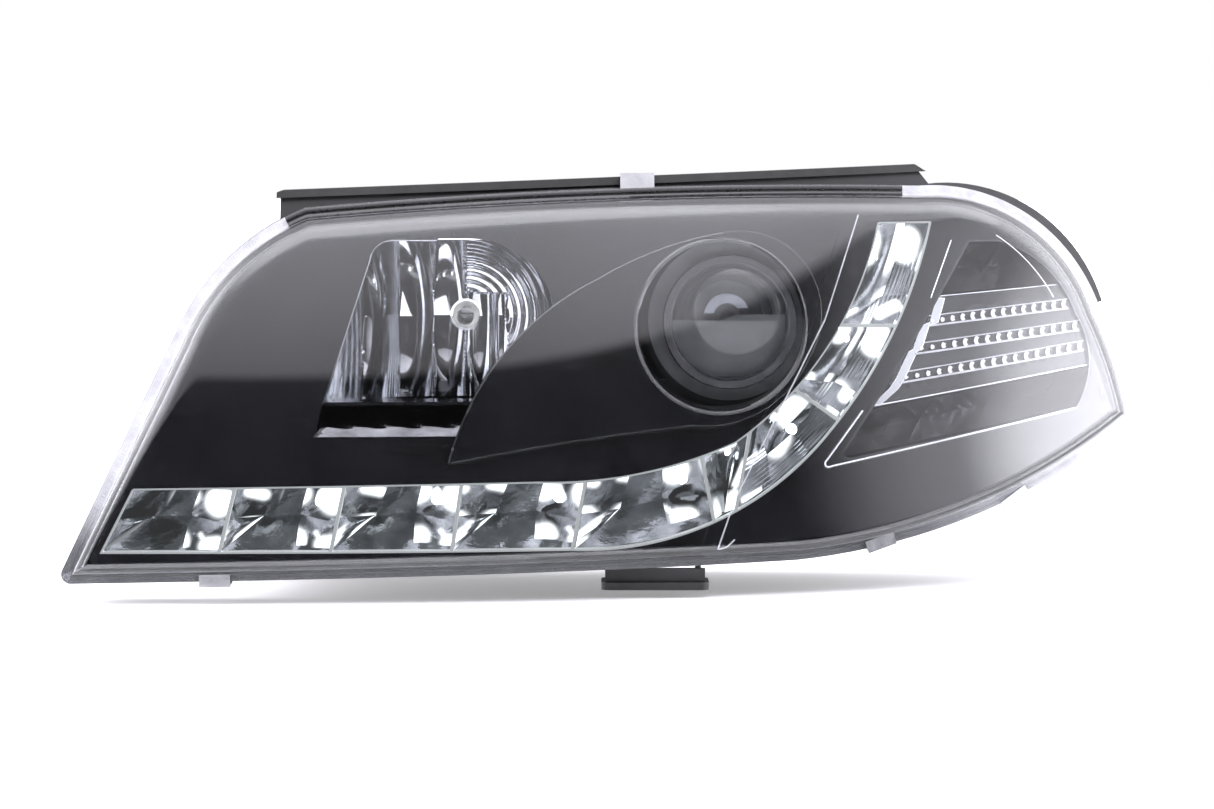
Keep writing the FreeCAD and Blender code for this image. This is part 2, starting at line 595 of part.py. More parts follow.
def pan_screw(x, y, z, radius=3.2, height=2.2):
    """Head of a cross-recessed screw that is driven forward (-Y) from the face at y."""
    crown = rod_y(x, z, radius - 0.8, y + height - 0.01, y + height + 0.5)
    head = rod_y(x, z, radius, y, y + height).fuse(crown)
    slots = [box(x - 1.8, x + 1.8, y + 1.2, y + 5, z - 0.35, z + 0.35),
             box(x - 0.35, x + 0.35, y + 1.2, y + 5, z - 1.8, z + 1.8)]
    return cut_all(head.removeSplitter(), *slots)


def bulb_clip(axis, y_base):
    """Wire bail hinged above the bulb's base. It hangs behind the base and hooks below it."""
    x, top, y = axis[0], axis[1] + CLIP_RISE, y_base + CLIP_BACK
    bar = rod_x(y, top, WIRE_R, x - CLIP_WIDTH, x + CLIP_WIDTH)
    legs = [rod_z(x + side * CLIP_WIDTH, y, WIRE_R, top - CLIP_DROP, top) for side in (-1, 1)]
    foot = rod_x(y, top - CLIP_DROP, WIRE_R, x - CLIP_WIDTH, x + CLIP_WIDTH)
    corners = [Part.makeSphere(WIRE_R, V(x + side * CLIP_WIDTH, y, z)) for side in (-1, 1)
               for z in (top, top - CLIP_DROP)]
    return fuse(bar, *legs, foot, *corners)


def clip_eye(axis, y_base, y_wall):
    """Eye that holds a bulb clip's top bar, before its hole is cut."""
    x, top, y = axis[0], axis[1] + CLIP_RISE, y_base + CLIP_BACK
    return fuse(rod_x(y, top, 2.4, x - 3, x + 3), box(x - 3, x + 3, y_wall, y, top - 2.4, top + 2.4))


def eye_hole(axis, y_base):
    x = axis[0]
    return rod_x(y_base + CLIP_BACK, axis[1] + CLIP_RISE, WIRE_R + RUNNING_GAP, x - 5, x + 5)


# ---- trunnion and adjusters ---------------------------------------------------------------------------
def pivot_bracket():
    """Arm from the rear wall, ending in two ears for the trunnion's upright pin."""
    x, y, z = PIVOT.x, PIVOT.y, PIVOT.z
    ears_made = []
    for z0 in (z - 10.3, z + 6.3):
        ears_made += [rod_z(x, y, 5.5, z0, z0 + 4), box(x - 5.5, x + 5.5, y, y + 16, z0, z0 + 4)]
    web = box(x - 5.5, x + 5.5, y + 12, y + 16, z - 10.3, z + 10.3)
    arm = box(x - 4, x + 4, y + 15, REAR - WALL - 3, z - 9, z + 9)
    foot = box(x - 12, x + 12, REAR - WALL - 3, REAR - WALL, z - 20, z + 20)
    return fuse(*ears_made, web, arm, foot).cut(rod_z(x, y, PIN_R + RUNNING_GAP, z - 20, z + 20))


def pivot_screws():
    return Part.makeCompound([pan_screw(PIVOT.x - 7.5, REAR, PIVOT.z + dz) for dz in (-15, 15)])


def trunnion():
    x, y, z = PIVOT.x, PIVOT.y, PIVOT.z
    return fuse(box(x - 6, x + 6, y - 6, y + 6, z - 6, z + 6), rod_z(x, y, PIN_R, z - 10.8, z + 10.8),
                rod_x(y, z, PIN_R, x - 10.8, x + 10.8))


def adjuster_rod(ball, y_end):
    """Ball-ended screw: ball, neck and shank."""
    return fuse(Part.makeSphere(BALL_R, ball), rod_y(ball.x, ball.z, 2.2, ball.y, ball.y + 10),
                rod_y(ball.x, ball.z, SCREW_R, ball.y + 8, y_end))


def lateral_bush():
    """Plastic bush in the rear wall that guides the lateral screw."""
    x, z = LATERAL_BALL.x, LATERAL_BALL.z
    body = fuse(rod_y(x, z, 6, REAR - 12, REAR + 2), rod_y(x, z, 8.5, REAR - 6, REAR - WALL),
                rod_y(x, z, 8.5, REAR + 2, REAR + 4.5))
    return body.cut(rod_y(x, z, SCREW_R + RUNNING_GAP, REAR - 20, REAR + 10))


def adjuster_knob(ball, y0, length, radius):
    """Fluted knob with a boss that runs on the screw, and a cross slot for a driver in its end."""
    x, z = ball.x, ball.z
    knob = rod_y(x, z, radius, y0, y0 + length)
    for i in range(12):
        t = math.radians(30 * i)
        knob = knob.cut(rod_y(x + radius * math.cos(t), z + radius * math.sin(t), 1.3, y0 + 2, y0 + length + 1))
    knob = knob.cut(rod_y(x, z, SCREW_R + RUNNING_GAP, y0 - 1, y0 + length - 3))
    return cut_all(knob, box(x - 4, x + 4, y0 + length - 2, y0 + length + 1, z - 0.6, z + 0.6),
                   box(x - 0.6, x + 0.6, y0 + length - 2, y0 + length + 1, z - 4, z + 4))


def level_motor():
    """Electric levelling motor on the rear wall, round the vertical screw."""
    x, z = VERTICAL_BALL.x, VERTICAL_BALL.z
    flange = rod_y(x, z, 16, REAR + 3, REAR + 6)
    case = box(x - 22, x + 22, REAR + 6, REAR + 36, z - 18, z + 22)
    case = case.makeFillet(4, [e for e in case.Edges if e.BoundBox.YLength > 29])
    drum = rod_y(x, z, 13, REAR + 35, REAR + 43)
    plug_seat = box(x + 20, x + 34, REAR + 12, REAR + 30, z - 10, z + 10)
    solid = fuse(flange, rod_y(x, z, 7.6, REAR - 6, REAR + 4), case, drum, plug_seat)
    return cut_all(solid, rod_y(x, z, SCREW_R + RUNNING_GAP, REAR - 10, REAR + 60),
                   box(x + 24, x + 40, REAR + 14, REAR + 28, z - 8, z + 8))


def motor_seal():
    x, z = VERTICAL_BALL.x, VERTICAL_BALL.z
    return tube_y(x, z, 12.0, 9.5, REAR + 1, REAR + 3)


# ---- rear caps, connector and driver ------------------------------------------------------------------
def rear_cap(axis):
    """Round cap with bayonet lugs inside its skirt and grip ribs outside."""
    x, z = axis
    skirt = tube_y(x, z, CAP_R, CAP_R - 2.9, CAP_FRONT, CAP_BACK - 2)
    plate = rod_y(x, z, CAP_R, CAP_BACK - 2.8, CAP_BACK)
    lugs = [bayonet_lug(x, z, COLLAR_R + 0.6, CAP_R - 2.4, turn, 249.5, 253.6) for turn in LOCK_ANGLES]
    turns = [math.radians(t) for t in range(0, 360, 20)]
    grips = [rod_y(x + CAP_R * math.cos(t), z + CAP_R * math.sin(t), 1.6, CAP_FRONT + 2, CAP_BACK)
             for t in turns]
    handle = box(x - 26, x + 26, CAP_BACK - 1, CAP_BACK + 7, z - 3, z + 3)
    handle = handle.makeFillet(2.5, [e for e in handle.Edges if e.BoundBox.YLength > 7])
    return fuse(skirt, plate, *lugs, *grips, handle)


def cap_seal(axis):
    return tube_y(*axis, COLLAR_R, CAP_HOLE_R + 0.5, COLLAR_END, CAP_BACK - 2.8)


def main_connector():
    """Socket for the car's loom, through the rear wall."""
    shell = box(424, 448, REAR - 6, REAR + 14, 144, 156)
    flange = box(420, 452, REAR, REAR + 2, 140, 160)
    hollow = box(425.5, 446.5, REAR - 2, REAR + 15, 145.5, 154.5)
    latch = box(432, 440, REAR + 4, REAR + 10, 155.5, 158)
    return fuse(shell, flange, latch).cut(hollow).cut(connector_pins())


def connector_pins():
    return Part.makeCompound([box(x - 0.8, x + 0.8, REAR - 10, REAR + 8, z - 0.4, z + 0.4)
                              for x in (428, 432, 436, 440, 444) for z in (148, 152)])


def led_driver():
    """Driver module for the light strip, with cooling fins."""
    case = box(402, 460, REAR, REAR + 10, 66, 112)
    fins = [box(x, x + 1.6, REAR + 9, REAR + 15, 68, 110) for x in range(410, 452, 5)]
    return fuse(case, *fins).cut(box(398, 464, REAR + 4, REAR + 12, 60, 63))


def driver_screws():
    return Part.makeCompound([pan_screw(x, REAR + 10, z) for x in (406, 456) for z in (70, 108)])


# ---- write the pieces ---------------------------------------------------------------------------------
def main():
    housing_front, housing_body, housing_rear = housing_mouldings()
    high_glass, high_base = bulb(HIGH, HIGH_BASE_Y, 34)
    low_glass, low_base = bulb(LOW, LOW_BASE_Y, 34)
    pieces = {
        "lens_cover": lens_cover(), "lens_seal": lens_seal(), "housing_front": housing_front,
        "housing_body": housing_body, "housing_rear": housing_rear, "vent_caps": vent_caps(),
        "mount_bushes": mount_bushes(), "lower_bracket": lower_bracket(), "top_rail": top_rail(),
        "hood_seal": hood_seal(), "lens_clips": lens_clips(), "trim_bezel": trim_bezel(),
        "high_beam_tunnel": high_beam_tunnel(), "projector_sleeve": projector_sleeve(),
        "projector_shroud": projector_shroud(), "drl_reflector": drl_reflector(), "drl_board": drl_board(),
        "drl_leds": drl_leds(), "indicator_reflector": indicator_reflector(),
        "indicator_light_bars": indicator_light_bars(), "indicator_board": indicator_board(),
        "indicator_leds": indicator_leds(), "indicator_pillars": indicator_pillars(),
        "aiming_frame": aiming_frame(), "ball_sockets": ball_sockets(),
        "high_reflector": high_reflector(), "high_bulb_glass": high_glass,
        "high_bulb_base": high_base, "high_bulb_plug": bulb_plug(HIGH, HIGH_BASE_Y),
        "high_bulb_clip": bulb_clip(HIGH, HIGH_BASE_Y), "projector_lens": projector_lens(),
        "projector_lens_ring": projector_lens_ring(), "projector_barrel": projector_barrel(),
        "cutoff_shield": cutoff_shield(), "projector_reflector": projector_reflector(),
        "low_bulb_glass": low_glass, "low_bulb_base": low_base, "low_bulb_plug": bulb_plug(LOW, LOW_BASE_Y),
        "low_bulb_clip": bulb_clip(LOW, LOW_BASE_Y), "carrier_screws": carrier_screws(),
        "pivot_bracket": pivot_bracket(), "pivot_screws": pivot_screws(), "trunnion": trunnion(),
        "vertical_rod": adjuster_rod(VERTICAL_BALL, VERTICAL_KNOB_Y + 4),
        "vertical_knob": adjuster_knob(VERTICAL_BALL, VERTICAL_KNOB_Y - 2, 16, 10),
        "lateral_rod": adjuster_rod(LATERAL_BALL, LATERAL_KNOB_Y + 6),
        "lateral_knob": adjuster_knob(LATERAL_BALL, LATERAL_KNOB_Y, 20, 10),
        "lateral_bush": lateral_bush(), "level_motor": level_motor(), "motor_seal": motor_seal(),
        "high_cap": rear_cap(HIGH), "high_cap_seal": cap_seal(HIGH), "low_cap": rear_cap(LOW),
        "low_cap_seal": cap_seal(LOW), "main_connector": main_connector(), "connector_pins": connector_pins(),
        "led_driver": led_driver(), "driver_screws": driver_screws(),
    }
    for name, shape in pieces.items():
        save(name, shape)


main()
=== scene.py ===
"""Looks of the car headlight assembly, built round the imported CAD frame.

Shapes are drawn in the lamp's own millimetres (+X outboard, +Y back into the car, +Z up). The cover's front
is the surface y = front_y(x, z), and place() turns millimetres into the frame's metres. Most depths are
measured back from that surface.
"""
import math

import bmesh
import bpy
import numpy as np
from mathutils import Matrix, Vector
from mathutils.geometry import delaunay_2d_cdt


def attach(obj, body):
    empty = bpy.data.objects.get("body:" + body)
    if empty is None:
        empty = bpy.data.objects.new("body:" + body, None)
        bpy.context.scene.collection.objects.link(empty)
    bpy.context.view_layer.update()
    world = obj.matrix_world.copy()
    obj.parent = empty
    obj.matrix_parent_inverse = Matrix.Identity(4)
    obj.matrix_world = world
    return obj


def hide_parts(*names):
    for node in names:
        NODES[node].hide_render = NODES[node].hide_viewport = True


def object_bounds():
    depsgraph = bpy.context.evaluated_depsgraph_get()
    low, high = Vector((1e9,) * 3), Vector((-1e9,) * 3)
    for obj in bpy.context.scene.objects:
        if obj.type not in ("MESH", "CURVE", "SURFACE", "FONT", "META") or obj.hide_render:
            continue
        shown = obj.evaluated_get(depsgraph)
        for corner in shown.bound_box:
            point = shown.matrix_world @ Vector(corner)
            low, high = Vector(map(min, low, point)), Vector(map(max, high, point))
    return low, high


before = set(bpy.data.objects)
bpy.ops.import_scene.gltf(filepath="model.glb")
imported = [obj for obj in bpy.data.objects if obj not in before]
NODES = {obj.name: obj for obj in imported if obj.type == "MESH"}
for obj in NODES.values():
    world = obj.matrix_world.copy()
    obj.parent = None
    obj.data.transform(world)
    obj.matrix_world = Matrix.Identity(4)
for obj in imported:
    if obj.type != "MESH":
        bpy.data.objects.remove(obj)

CAD_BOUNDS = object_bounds()

# ---- driving dimensions, in the lamp's millimetres --------
MM = 0.001
ORIGIN = Vector((440.0, 257.0, 181.0))      # the frame's origin, the outboard upper bolt
SWEEP_START, SWEEP_SPAN, SWEEP_DEPTH, SWEEP_POWER = 40.0, 530.0, 190.0, 2.6
RAKE_HEIGHT, RAKE_DEPTH, RAKE_POWER = 200.0, 70.0, 1.6
FLANGE, COVER_WALL, COVER_DEPTH = 4.5, 3.0, 24.0
COVER_ROUND, FOOT_ROUND = 11.0, 0.42        # radius of the cover's rolled edge, and its share at the foot
ROUND_FROM, ROUND_OVER = 22.0, 70.0         # height where the roll starts to widen, and how soon it is full
CLEAR_FOOT, CLEAR_TOP = 20.0, 60.0          # the rim's haze and gloss grow between these heights
SEAL_LIP_ENDS = ((118.0, 188.0), (446.0, 201.4))
RIM_LIP = 1.5                               # how far the cover's flange laps over the housing's rim
TRIM_FRONT, TRIM_BACK, TRIM_INSET = 18.0, 20.5, 9.0
HIGH = (210.0, 135.0)                       # centre of the high beam's bowl
HIGH_HOLE = 8.5                             # radius of the bulb's hole in it
SHROUD_RING = (345.0, 131.0, 43.5)          # centre and radius of the projector's opening
SHROUD_FRONT, SHROUD_BACK = 14.2, 17.9
TUNNEL_END, TUNNEL_WALL = 83.5, 1.6         # the high beam's tunnel ends at this Y
SLEEVE_END, SLEEVE_WALL = 121.0, 2.0        # and the projector's sleeve at this one
LAMP_DEPTH, LAMP_RADIUS = 30.0, 3.0         # lit lamps of the strip


def place(x, y, z):
    """A point of the lamp's millimetres as the frame's metres."""
    return (Vector((x, y, z)) - ORIGIN) * MM


def front_y(x, z):
    """Y of the cover's front: it sweeps back outboard, and leans back with height."""
    sweep = SWEEP_DEPTH * (max(0.0, x - SWEEP_START) / SWEEP_SPAN) ** SWEEP_POWER
    rake = RAKE_DEPTH * (max(0.0, z) / RAKE_HEIGHT) ** RAKE_POWER
    return sweep + rake


# ---- flat outlines --------
def arc_points(a, via, b, step):
    """Points along the arc from a through via to b, without a."""
    ax, ay, bx, by, cx, cy = *a, *via, *b
    d = 2 * (ax * (by - cy) + bx * (cy - ay) + cx * (ay - by))
    aa, bb, cc = ax * ax + ay * ay, bx * bx + by * by, cx * cx + cy * cy
    ux = (aa * (by - cy) + bb * (cy - ay) + cc * (ay - by)) / d
    uy = (aa * (cx - bx) + bb * (ax - cx) + cc * (bx - ax)) / d
    radius = math.hypot(ax - ux, ay - uy)
    start, middle, end = (math.atan2(p[1] - uy, p[0] - ux) for p in (a, via, b))
    turn = (end - start) % (2 * math.pi)
    if (middle - start) % (2 * math.pi) > turn:
        turn -= 2 * math.pi
    count = max(2, round(abs(turn) * radius / step))
    return [(ux + radius * math.cos(start + turn * i / count),
             uy + radius * math.sin(start + turn * i / count))
            for i in range(1, count + 1)]


def path(start, *steps, step=3.0):
    """Open line of points. A step is an end point, or a pair (point on the arc, end point)."""
    points, here = [start], start
    for leg in steps:
        if isinstance(leg[0], tuple):
            points += arc_points(here, leg[0], leg[1], step)
            here = leg[1]
        else:
            length = math.dist(here, leg)
            count = max(1, round(length / step))
            points += [(here[0] + (leg[0] - here[0]) * i / count,
                        here[1] + (leg[1] - here[1]) * i / count)
                       for i in range(1, count + 1)]
            here = leg
    return np.array(points)


def outline(start, *steps, step=3.0):
    """Closed loop of points."""
    return path(start, *steps, start, step=step)[:-1]


def part_way(line, share):
    """Points at the given shares, 0 to 1, of the length of an open line."""
    along = np.concatenate([[0], np.cumsum(np.hypot(*np.diff(line, axis=0).T))])
    at = np.asarray(share) * along[-1]
    return np.stack([np.interp(at, along, line[:, 0]), np.interp(at, along, line[:, 1])], -1)


def cut_out(line, a, b):
    """The part of an open line between the points nearest to a and b."""
    i, j = (int(np.argmin(np.hypot(*(line - p).T))) for p in (a, b))
    return np.vstack([[a], line[i + 1:j], [b]])


def outline_resampled(loop, step):
    """The loop with points at even spacing, an even number of them."""
    closed = np.vstack([loop, loop[:1]])
    along = np.concatenate([[0], np.cumsum(np.hypot(*np.diff(closed, axis=0).T))])
    count = 2 * round(along[-1] / step / 2)
    at = np.linspace(0, along[-1], count, endpoint=False)
    return np.stack([np.interp(at, along, closed[:, 0]), np.interp(at, along, closed[:, 1])], 1)


def circle(cx, cz, radius, count=96):
    return np.array([(cx + radius * math.cos(2 * math.pi * i / count),
                      cz + radius * math.sin(2 * math.pi * i / count))
                     for i in range(count)])


def area(loop):
    """Area of the closed loop, positive when it runs anticlockwise."""
    x, z = loop[:, 0], loop[:, 1]
    return 0.5 * float(np.sum(x * np.roll(z, -1) - np.roll(x, -1) * z))


def edge_distance(points, loop):
    """Distance of each point from the closed loop."""
    a, b = loop, np.roll(loop, -1, axis=0)
    ab = b - a
    length = np.maximum((ab ** 2).sum(1), 1e-12)
    best = np.full(len(points), 1e9)
    for i in range(len(a)):
        t = np.clip(((points - a[i]) @ ab[i]) / length[i], 0, 1)
        best = np.minimum(best, np.hypot(*(points - a[i] - t[:, None] * ab[i]).T))
    return best


def inside(points, loop):
    """True for each point within the closed loop."""
    a, b = loop, np.roll(loop, -1, axis=0)
    result = np.zeros(len(points), bool)
    for (x0, z0), (x1, z1) in zip(a, b):
        crosses = (z0 > points[:, 1]) != (z1 > points[:, 1])
        with np.errstate(divide="ignore", invalid="ignore"):
            result ^= crosses & (points[:, 0] < (x1 - x0) * (points[:, 1] - z0) / (z1 - z0) + x0)
    return result


def offset(loop, distance):
    """The loop moved outwards by distance (inwards if negative), with as many points as before."""
    sign = 1.0 if area(loop) > 0 else -1.0
    before, after = loop - np.roll(loop, 1, axis=0), np.roll(loop, -1, axis=0) - loop
    normals = []
    for e in (before, after):
        e = e / np.maximum(np.hypot(*e.T)[:, None], 1e-12)
        normals.append(sign * np.stack([e[:, 1], -e[:, 0]], 1))
    both = normals[0] + normals[1]
    scale = np.minimum(2.0 / np.maximum((both ** 2).sum(1), 0.2), 2.5)
    moved = loop + both * scale[:, None] * distance
    good = edge_distance(moved, loop) >= abs(distance) * 0.985 - 1e-6
    valid = moved[good]
    for i in np.nonzero(~good)[0]:
        moved[i] = valid[np.argmin(np.hypot(*(valid - moved[i]).T))]
    return moved


def tidy_loop(loop, gap=0.05):
    """The loop without points closer together than gap."""
    keep = [p for i, p in enumerate(loop) if math.dist(p, loop[i - 1]) > gap]
    return np.array(keep)


def blunted(loop, radius):
    """The loop with its sharp outer corners rounded."""
    return tidy_loop(offset(tidy_loop(offset(loop, -radius)), radius))


def fill(loop, holes=(), spacing=4.0, clear=None, extra=()):
    """Triangles that fill the loop: (points, triangles). Holes and extra loops become edges of the mesh."""
    loops = [tidy_loop(np.asarray(p)) for p in (loop, *holes, *extra)]
    clear = spacing * 0.6 if clear is None else clear
    low, high = loops[0].min(0), loops[0].max(0)
    grid = np.array([(x + (row % 2) * spacing / 2, z)
                     for row, z in enumerate(np.arange(low[1], high[1], spacing * 0.87))
                     for x in np.arange(low[0], high[0], spacing)])
    keep = inside(grid, loops[0])
    for edge in loops:
        keep &= edge_distance(grid, edge) > clear
    for hole in loops[1:1 + len(holes)]:
        keep &= ~inside(grid, hole)
    points, edges = [], []
    for edge in loops:
        first = len(points)
        points += [Vector(p) for p in edge]
        edges += [(first + i, first + (i + 1) % len(edge)) for i in range(len(edge))]
    points += [Vector(p) for p in grid[keep]]
    verts, _, tris, *_ = delaunay_2d_cdt(points, edges, [], 0, 1e-5)
    verts = np.array([tuple(v) for v in verts])
    centres = np.array([verts[list(t)].mean(0) for t in tris])
    wanted = inside(centres, loops[0])
    for hole in loops[1:1 + len(holes)]:
        wanted &= ~inside(centres, hole)
    return verts, [tuple(t) for t, w in zip(tris, wanted) if w]


# ---- meshes --------
def behind(x, z, depth):
    """The point that lies depth behind the front surface."""
    return place(x, front_y(x, z) + depth, z)


def rim_edges(tris):
    """Directed edges that only one triangle uses."""
    seen = {}
    for tri in tris:
        for a, b in zip(tri, tri[1:] + tri[:1]):
            key = (min(a, b), max(a, b))
            seen[key] = None if key in seen else (a, b)
    return [e for e in seen.values() if e]


def thickened(tris, count):
    """Faces of a solid made from a sheet of triangles and a copy of it, whose points come count later."""
    faces = list(tris) + [tuple(count + i for i in reversed(tri)) for tri in tris]
    return faces + [(b, a, a + count, b + count) for a, b in rim_edges(tris)]


def plate(loop, holes, near, far, spacing=4.0):
    """Closed plate between two depths: (vertices, faces)."""
    flat, tris = fill(loop, holes, spacing)
    verts = [behind(x, z, near) for x, z in flat] + [behind(x, z, far) for x, z in flat]
    return verts, thickened(tris, len(flat))


def strip_between(rows, closed=True):
    """Faces between rows of points. Each row has as many points as the next."""
    verts = [p for row in rows for p in row]
    n = len(rows[0])
    faces = []
    for r in range(len(rows) - 1):
        for i in range(n if closed else n - 1):
            j = (i + 1) % n
            faces.append((r * n + i, r * n + j, (r + 1) * n + j, (r + 1) * n + i))
    return verts, faces


def joined(*parts):
    """Several (vertices, faces) as one."""
    verts, faces = [], []
    for part_verts, part_faces in parts:
        first = len(verts)
        verts += list(part_verts)
        faces += [tuple(first + i for i in face) for face in part_faces]
    return verts, faces


def piece(name, geometry, material, body="lamp_body", slot=None, replaces=(), sharp=35.0, weld=1e-6,
          bevel=0.0):
    """A new object from (vertices, faces), smooth except at sharp edges, riding on a body."""
    mesh = bpy.data.meshes.new(name)
    mesh.from_pydata([tuple(v) for v in geometry[0]], [], geometry[1])
    bm = bmesh.new()
    bm.from_mesh(mesh)
    bmesh.ops.remove_doubles(bm, verts=bm.verts, dist=weld)
    bmesh.ops.dissolve_degenerate(bm, edges=bm.edges, dist=weld)
    bmesh.ops.recalc_face_normals(bm, faces=bm.faces)
    bm.to_mesh(mesh)
    bm.free()
    mesh.polygons.foreach_set("use_smooth", [True] * len(mesh.polygons))
    mesh.set_sharp_from_angle(angle=math.radians(sharp))
    obj = bpy.data.objects.new(name, mesh)
    bpy.context.scene.collection.objects.link(obj)
    mesh.materials.append(material)
    if bevel:
        soften(obj, bevel)
    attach(obj, body)
    if replaces:
        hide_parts(*replaces)
    return obj


def soften(obj, width):
    """Rounds an object's sharp edges a little. The width is in millimetres."""
    mod = obj.modifiers.new("edges", "BEVEL")
    mod.width = width * MM
    mod.segments = 2
    mod.limit_method = "ANGLE"
    mod.angle_limit = math.radians(32.0)
    mod.harden_normals = True


def lathe(profile, x, z, count):
    """Solid of revolution about the Y axis through (x, z). Points are (radius, y), in order round."""
    rows = [[place(x + r * math.cos(2 * math.pi * i / count), y,
                   z + r * math.sin(2 * math.pi * i / count))
             for i in range(count)] for r, y in profile]
    return strip_between(rows + rows[:1])


# ---- materials --------
class Graph:
    """Short hand for building one tree of shader nodes."""

    def __init__(self, owner):
        owner.use_nodes = True
        self.tree = owner.node_tree
        self.tree.nodes.clear()

    def add(self, kind, inputs=None, **settings):
        node = self.tree.nodes.new("ShaderNode" + kind)
        for key, value in settings.items():
            setattr(node, key, value)
        for key, value in (inputs or {}).items():
            if isinstance(value, bpy.types.NodeSocket):
                self.tree.links.new(value, node.inputs[key])
            else:
                node.inputs[key].default_value = value
        return node

    def maths(self, operation, a, b):
        return self.add("Math", {0: a, 1: b}, operation=operation).outputs[0]


class Nodes(Graph):
    """The nodes of one new material. Coordinates are the object's own, in metres."""

    def __init__(self, name):
        self.material = bpy.data.materials.new(name)
        super().__init__(self.material)
        self.out = self.add("OutputMaterial")

    def coordinates(self):
        return self.add("TexCoord").outputs["Object"]

    def noise(self, scale, detail=4.0):
        return self.add("TexNoise", {"Vector": self.coordinates(), "Scale": scale, "Detail": detail,
                                     "Roughness": 0.55}).outputs[0]

    def ramp(self, value, low, high, stops=(0.3, 0.7)):
        """Value mapped from stops to a number or a colour between low and high."""
        if isinstance(low, (int, float)):
            node = self.add("MapRange", {"Value": value, "From Min": stops[0], "From Max": stops[1],
                                         "To Min": low, "To Max": high})
            return node.outputs[0]
        share = self.ramp(value, 0.0, 1.0, stops)
        node = self.add("Mix", {0: share, 6: (*low, 1.0), 7: (*high, 1.0)}, data_type="RGBA")
        return node.outputs[2]

    def bump(self, height, strength=0.2, distance=0.0002):
        return self.add("Bump", {"Height": height, "Strength": strength, "Distance": distance}).outputs[0]

    def principled(self, **inputs):
        """A Principled shader. An input's name has _ where the socket's has a space."""
        named = {key.replace("_", " "): value for key, value in inputs.items()}
        return self.add("BsdfPrincipled", named)

    def finish(self, shader):
        self.tree.links.new(shader.outputs[0], self.out.inputs[0])
        return self.material


def moulded(name, low, high, rough=(0.35, 0.5), grain=0.12, grain_scale=2600.0, coat=0.0):
    """Moulded plastic or rubber: slight colour drift, uneven gloss, fine grain."""
    n = Nodes(name)
    drift = n.noise(35.0)
    smudge = n.noise(140.0, 6.0)
    grained = n.noise(grain_scale, 2.0)
    shader = n.principled(Base_Color=n.ramp(drift, low, high), Roughness=n.ramp(smudge, *rough),
                          Normal=n.bump(grained, grain, 0.0001))
    shader.inputs["Coat Weight"].default_value = coat
    shader.inputs["Coat Roughness"].default_value = 0.06
    return n.finish(shader)


def metal(name, low, high, rough=(0.08, 0.16), grain=0.05, grain_scale=900.0):
    """Metal or metallised plastic: slight colour drift, uneven polish, fine waves."""
    n = Nodes(name)
    shader = n.principled(Base_Color=n.ramp(n.noise(60.0), low, high), Metallic=1.0,
                          Roughness=n.ramp(n.noise(220.0, 5.0), *rough),
                          Normal=n.bump(n.noise(grain_scale, 3.0), grain, 0.00008))
    return n.finish(shader)


def clear(name, tint=(1, 1, 1), head_on=0.045, rough=(0.0, 0.03), haze=None, foot=None):
    """Clear moulding that doesn't bend what is behind it: it passes light, and mirrors more at a slant.

    haze is (share, colour) of a milky surface. foot is the part of haze and gloss left along the lamp's foot.
    """
    n = Nodes(name)
    slant = n.add("LayerWeight", {"Blend": 0.5}).outputs["Facing"]
    share = n.ramp(n.maths("POWER", slant, 5.0), head_on, 1.0, (0.0, 1.0))
    through = n.add("BsdfTransparent", {"Color": (*tint, 1.0)})
    shine = n.add("BsdfGlossy", {"Color": (1, 1, 1, 1), "Roughness": n.ramp(n.noise(18.0, 5.0), *rough)})
    cloudy = None
    if haze is not None:
        cloudy = n.ramp(n.noise(90.0, 3.0), haze[0] * 0.8, min(1.0, haze[0] * 1.2))
    if foot is not None:
        height = n.add("SeparateXYZ", {0: n.coordinates()}).outputs[2]
        kept = n.ramp(height, foot, 1.0, [(z - ORIGIN.z) * MM for z in (CLEAR_FOOT, CLEAR_TOP)])
        share = n.maths("MULTIPLY", share, kept)
        cloudy = n.maths("MULTIPLY", cloudy, kept)
    mix = n.add("MixShader", {0: share, 1: through.outputs[0], 2: shine.outputs[0]})
    if cloudy is not None:
        milk = n.principled(Base_Color=(*haze[1], 1.0), Roughness=0.5)
        mix = n.add("MixShader", {0: cloudy, 1: mix.outputs[0], 2: milk.outputs[0]})
    return n.finish(mix)


def glowing(name, colour, strength):
    """A lit lamp: bright, with a little unevenness."""
    n = Nodes(name)
    power = n.ramp(n.noise(500.0, 2.0), strength * 0.6, strength)
    shader = n.principled(Base_Color=(0.9, 0.92, 0.95, 1.0), Roughness=0.3, Emission_Color=(*colour, 1.0),
                          Emission_Strength=power)
    return n.finish(shader)


def painted_glow_chrome(name):
    """Chrome round the lit lamps, with painted glow: the mesh's glow attribute paints, as emission, how
    brightly a lamp fills each point.
    """
    n = Nodes(name)
    # painted glow: the chrome's emission stands in for lamp light falling on it and mirrored in it
    glow = n.add("Attribute", attribute_name="glow").outputs["Fac"]
    shader = n.principled(Base_Color=n.ramp(n.noise(60.0), (0.06, 0.065, 0.07), (0.2, 0.21, 0.22)),
                          Metallic=1.0, Roughness=n.ramp(n.noise(220.0, 5.0), 0.05, 0.14),
                          Normal=n.bump(n.noise(160.0, 3.0), 0.3, 0.001),
                          Emission_Color=(0.93, 0.97, 1.0, 1.0), Emission_Strength=glow)
    return n.finish(shader)


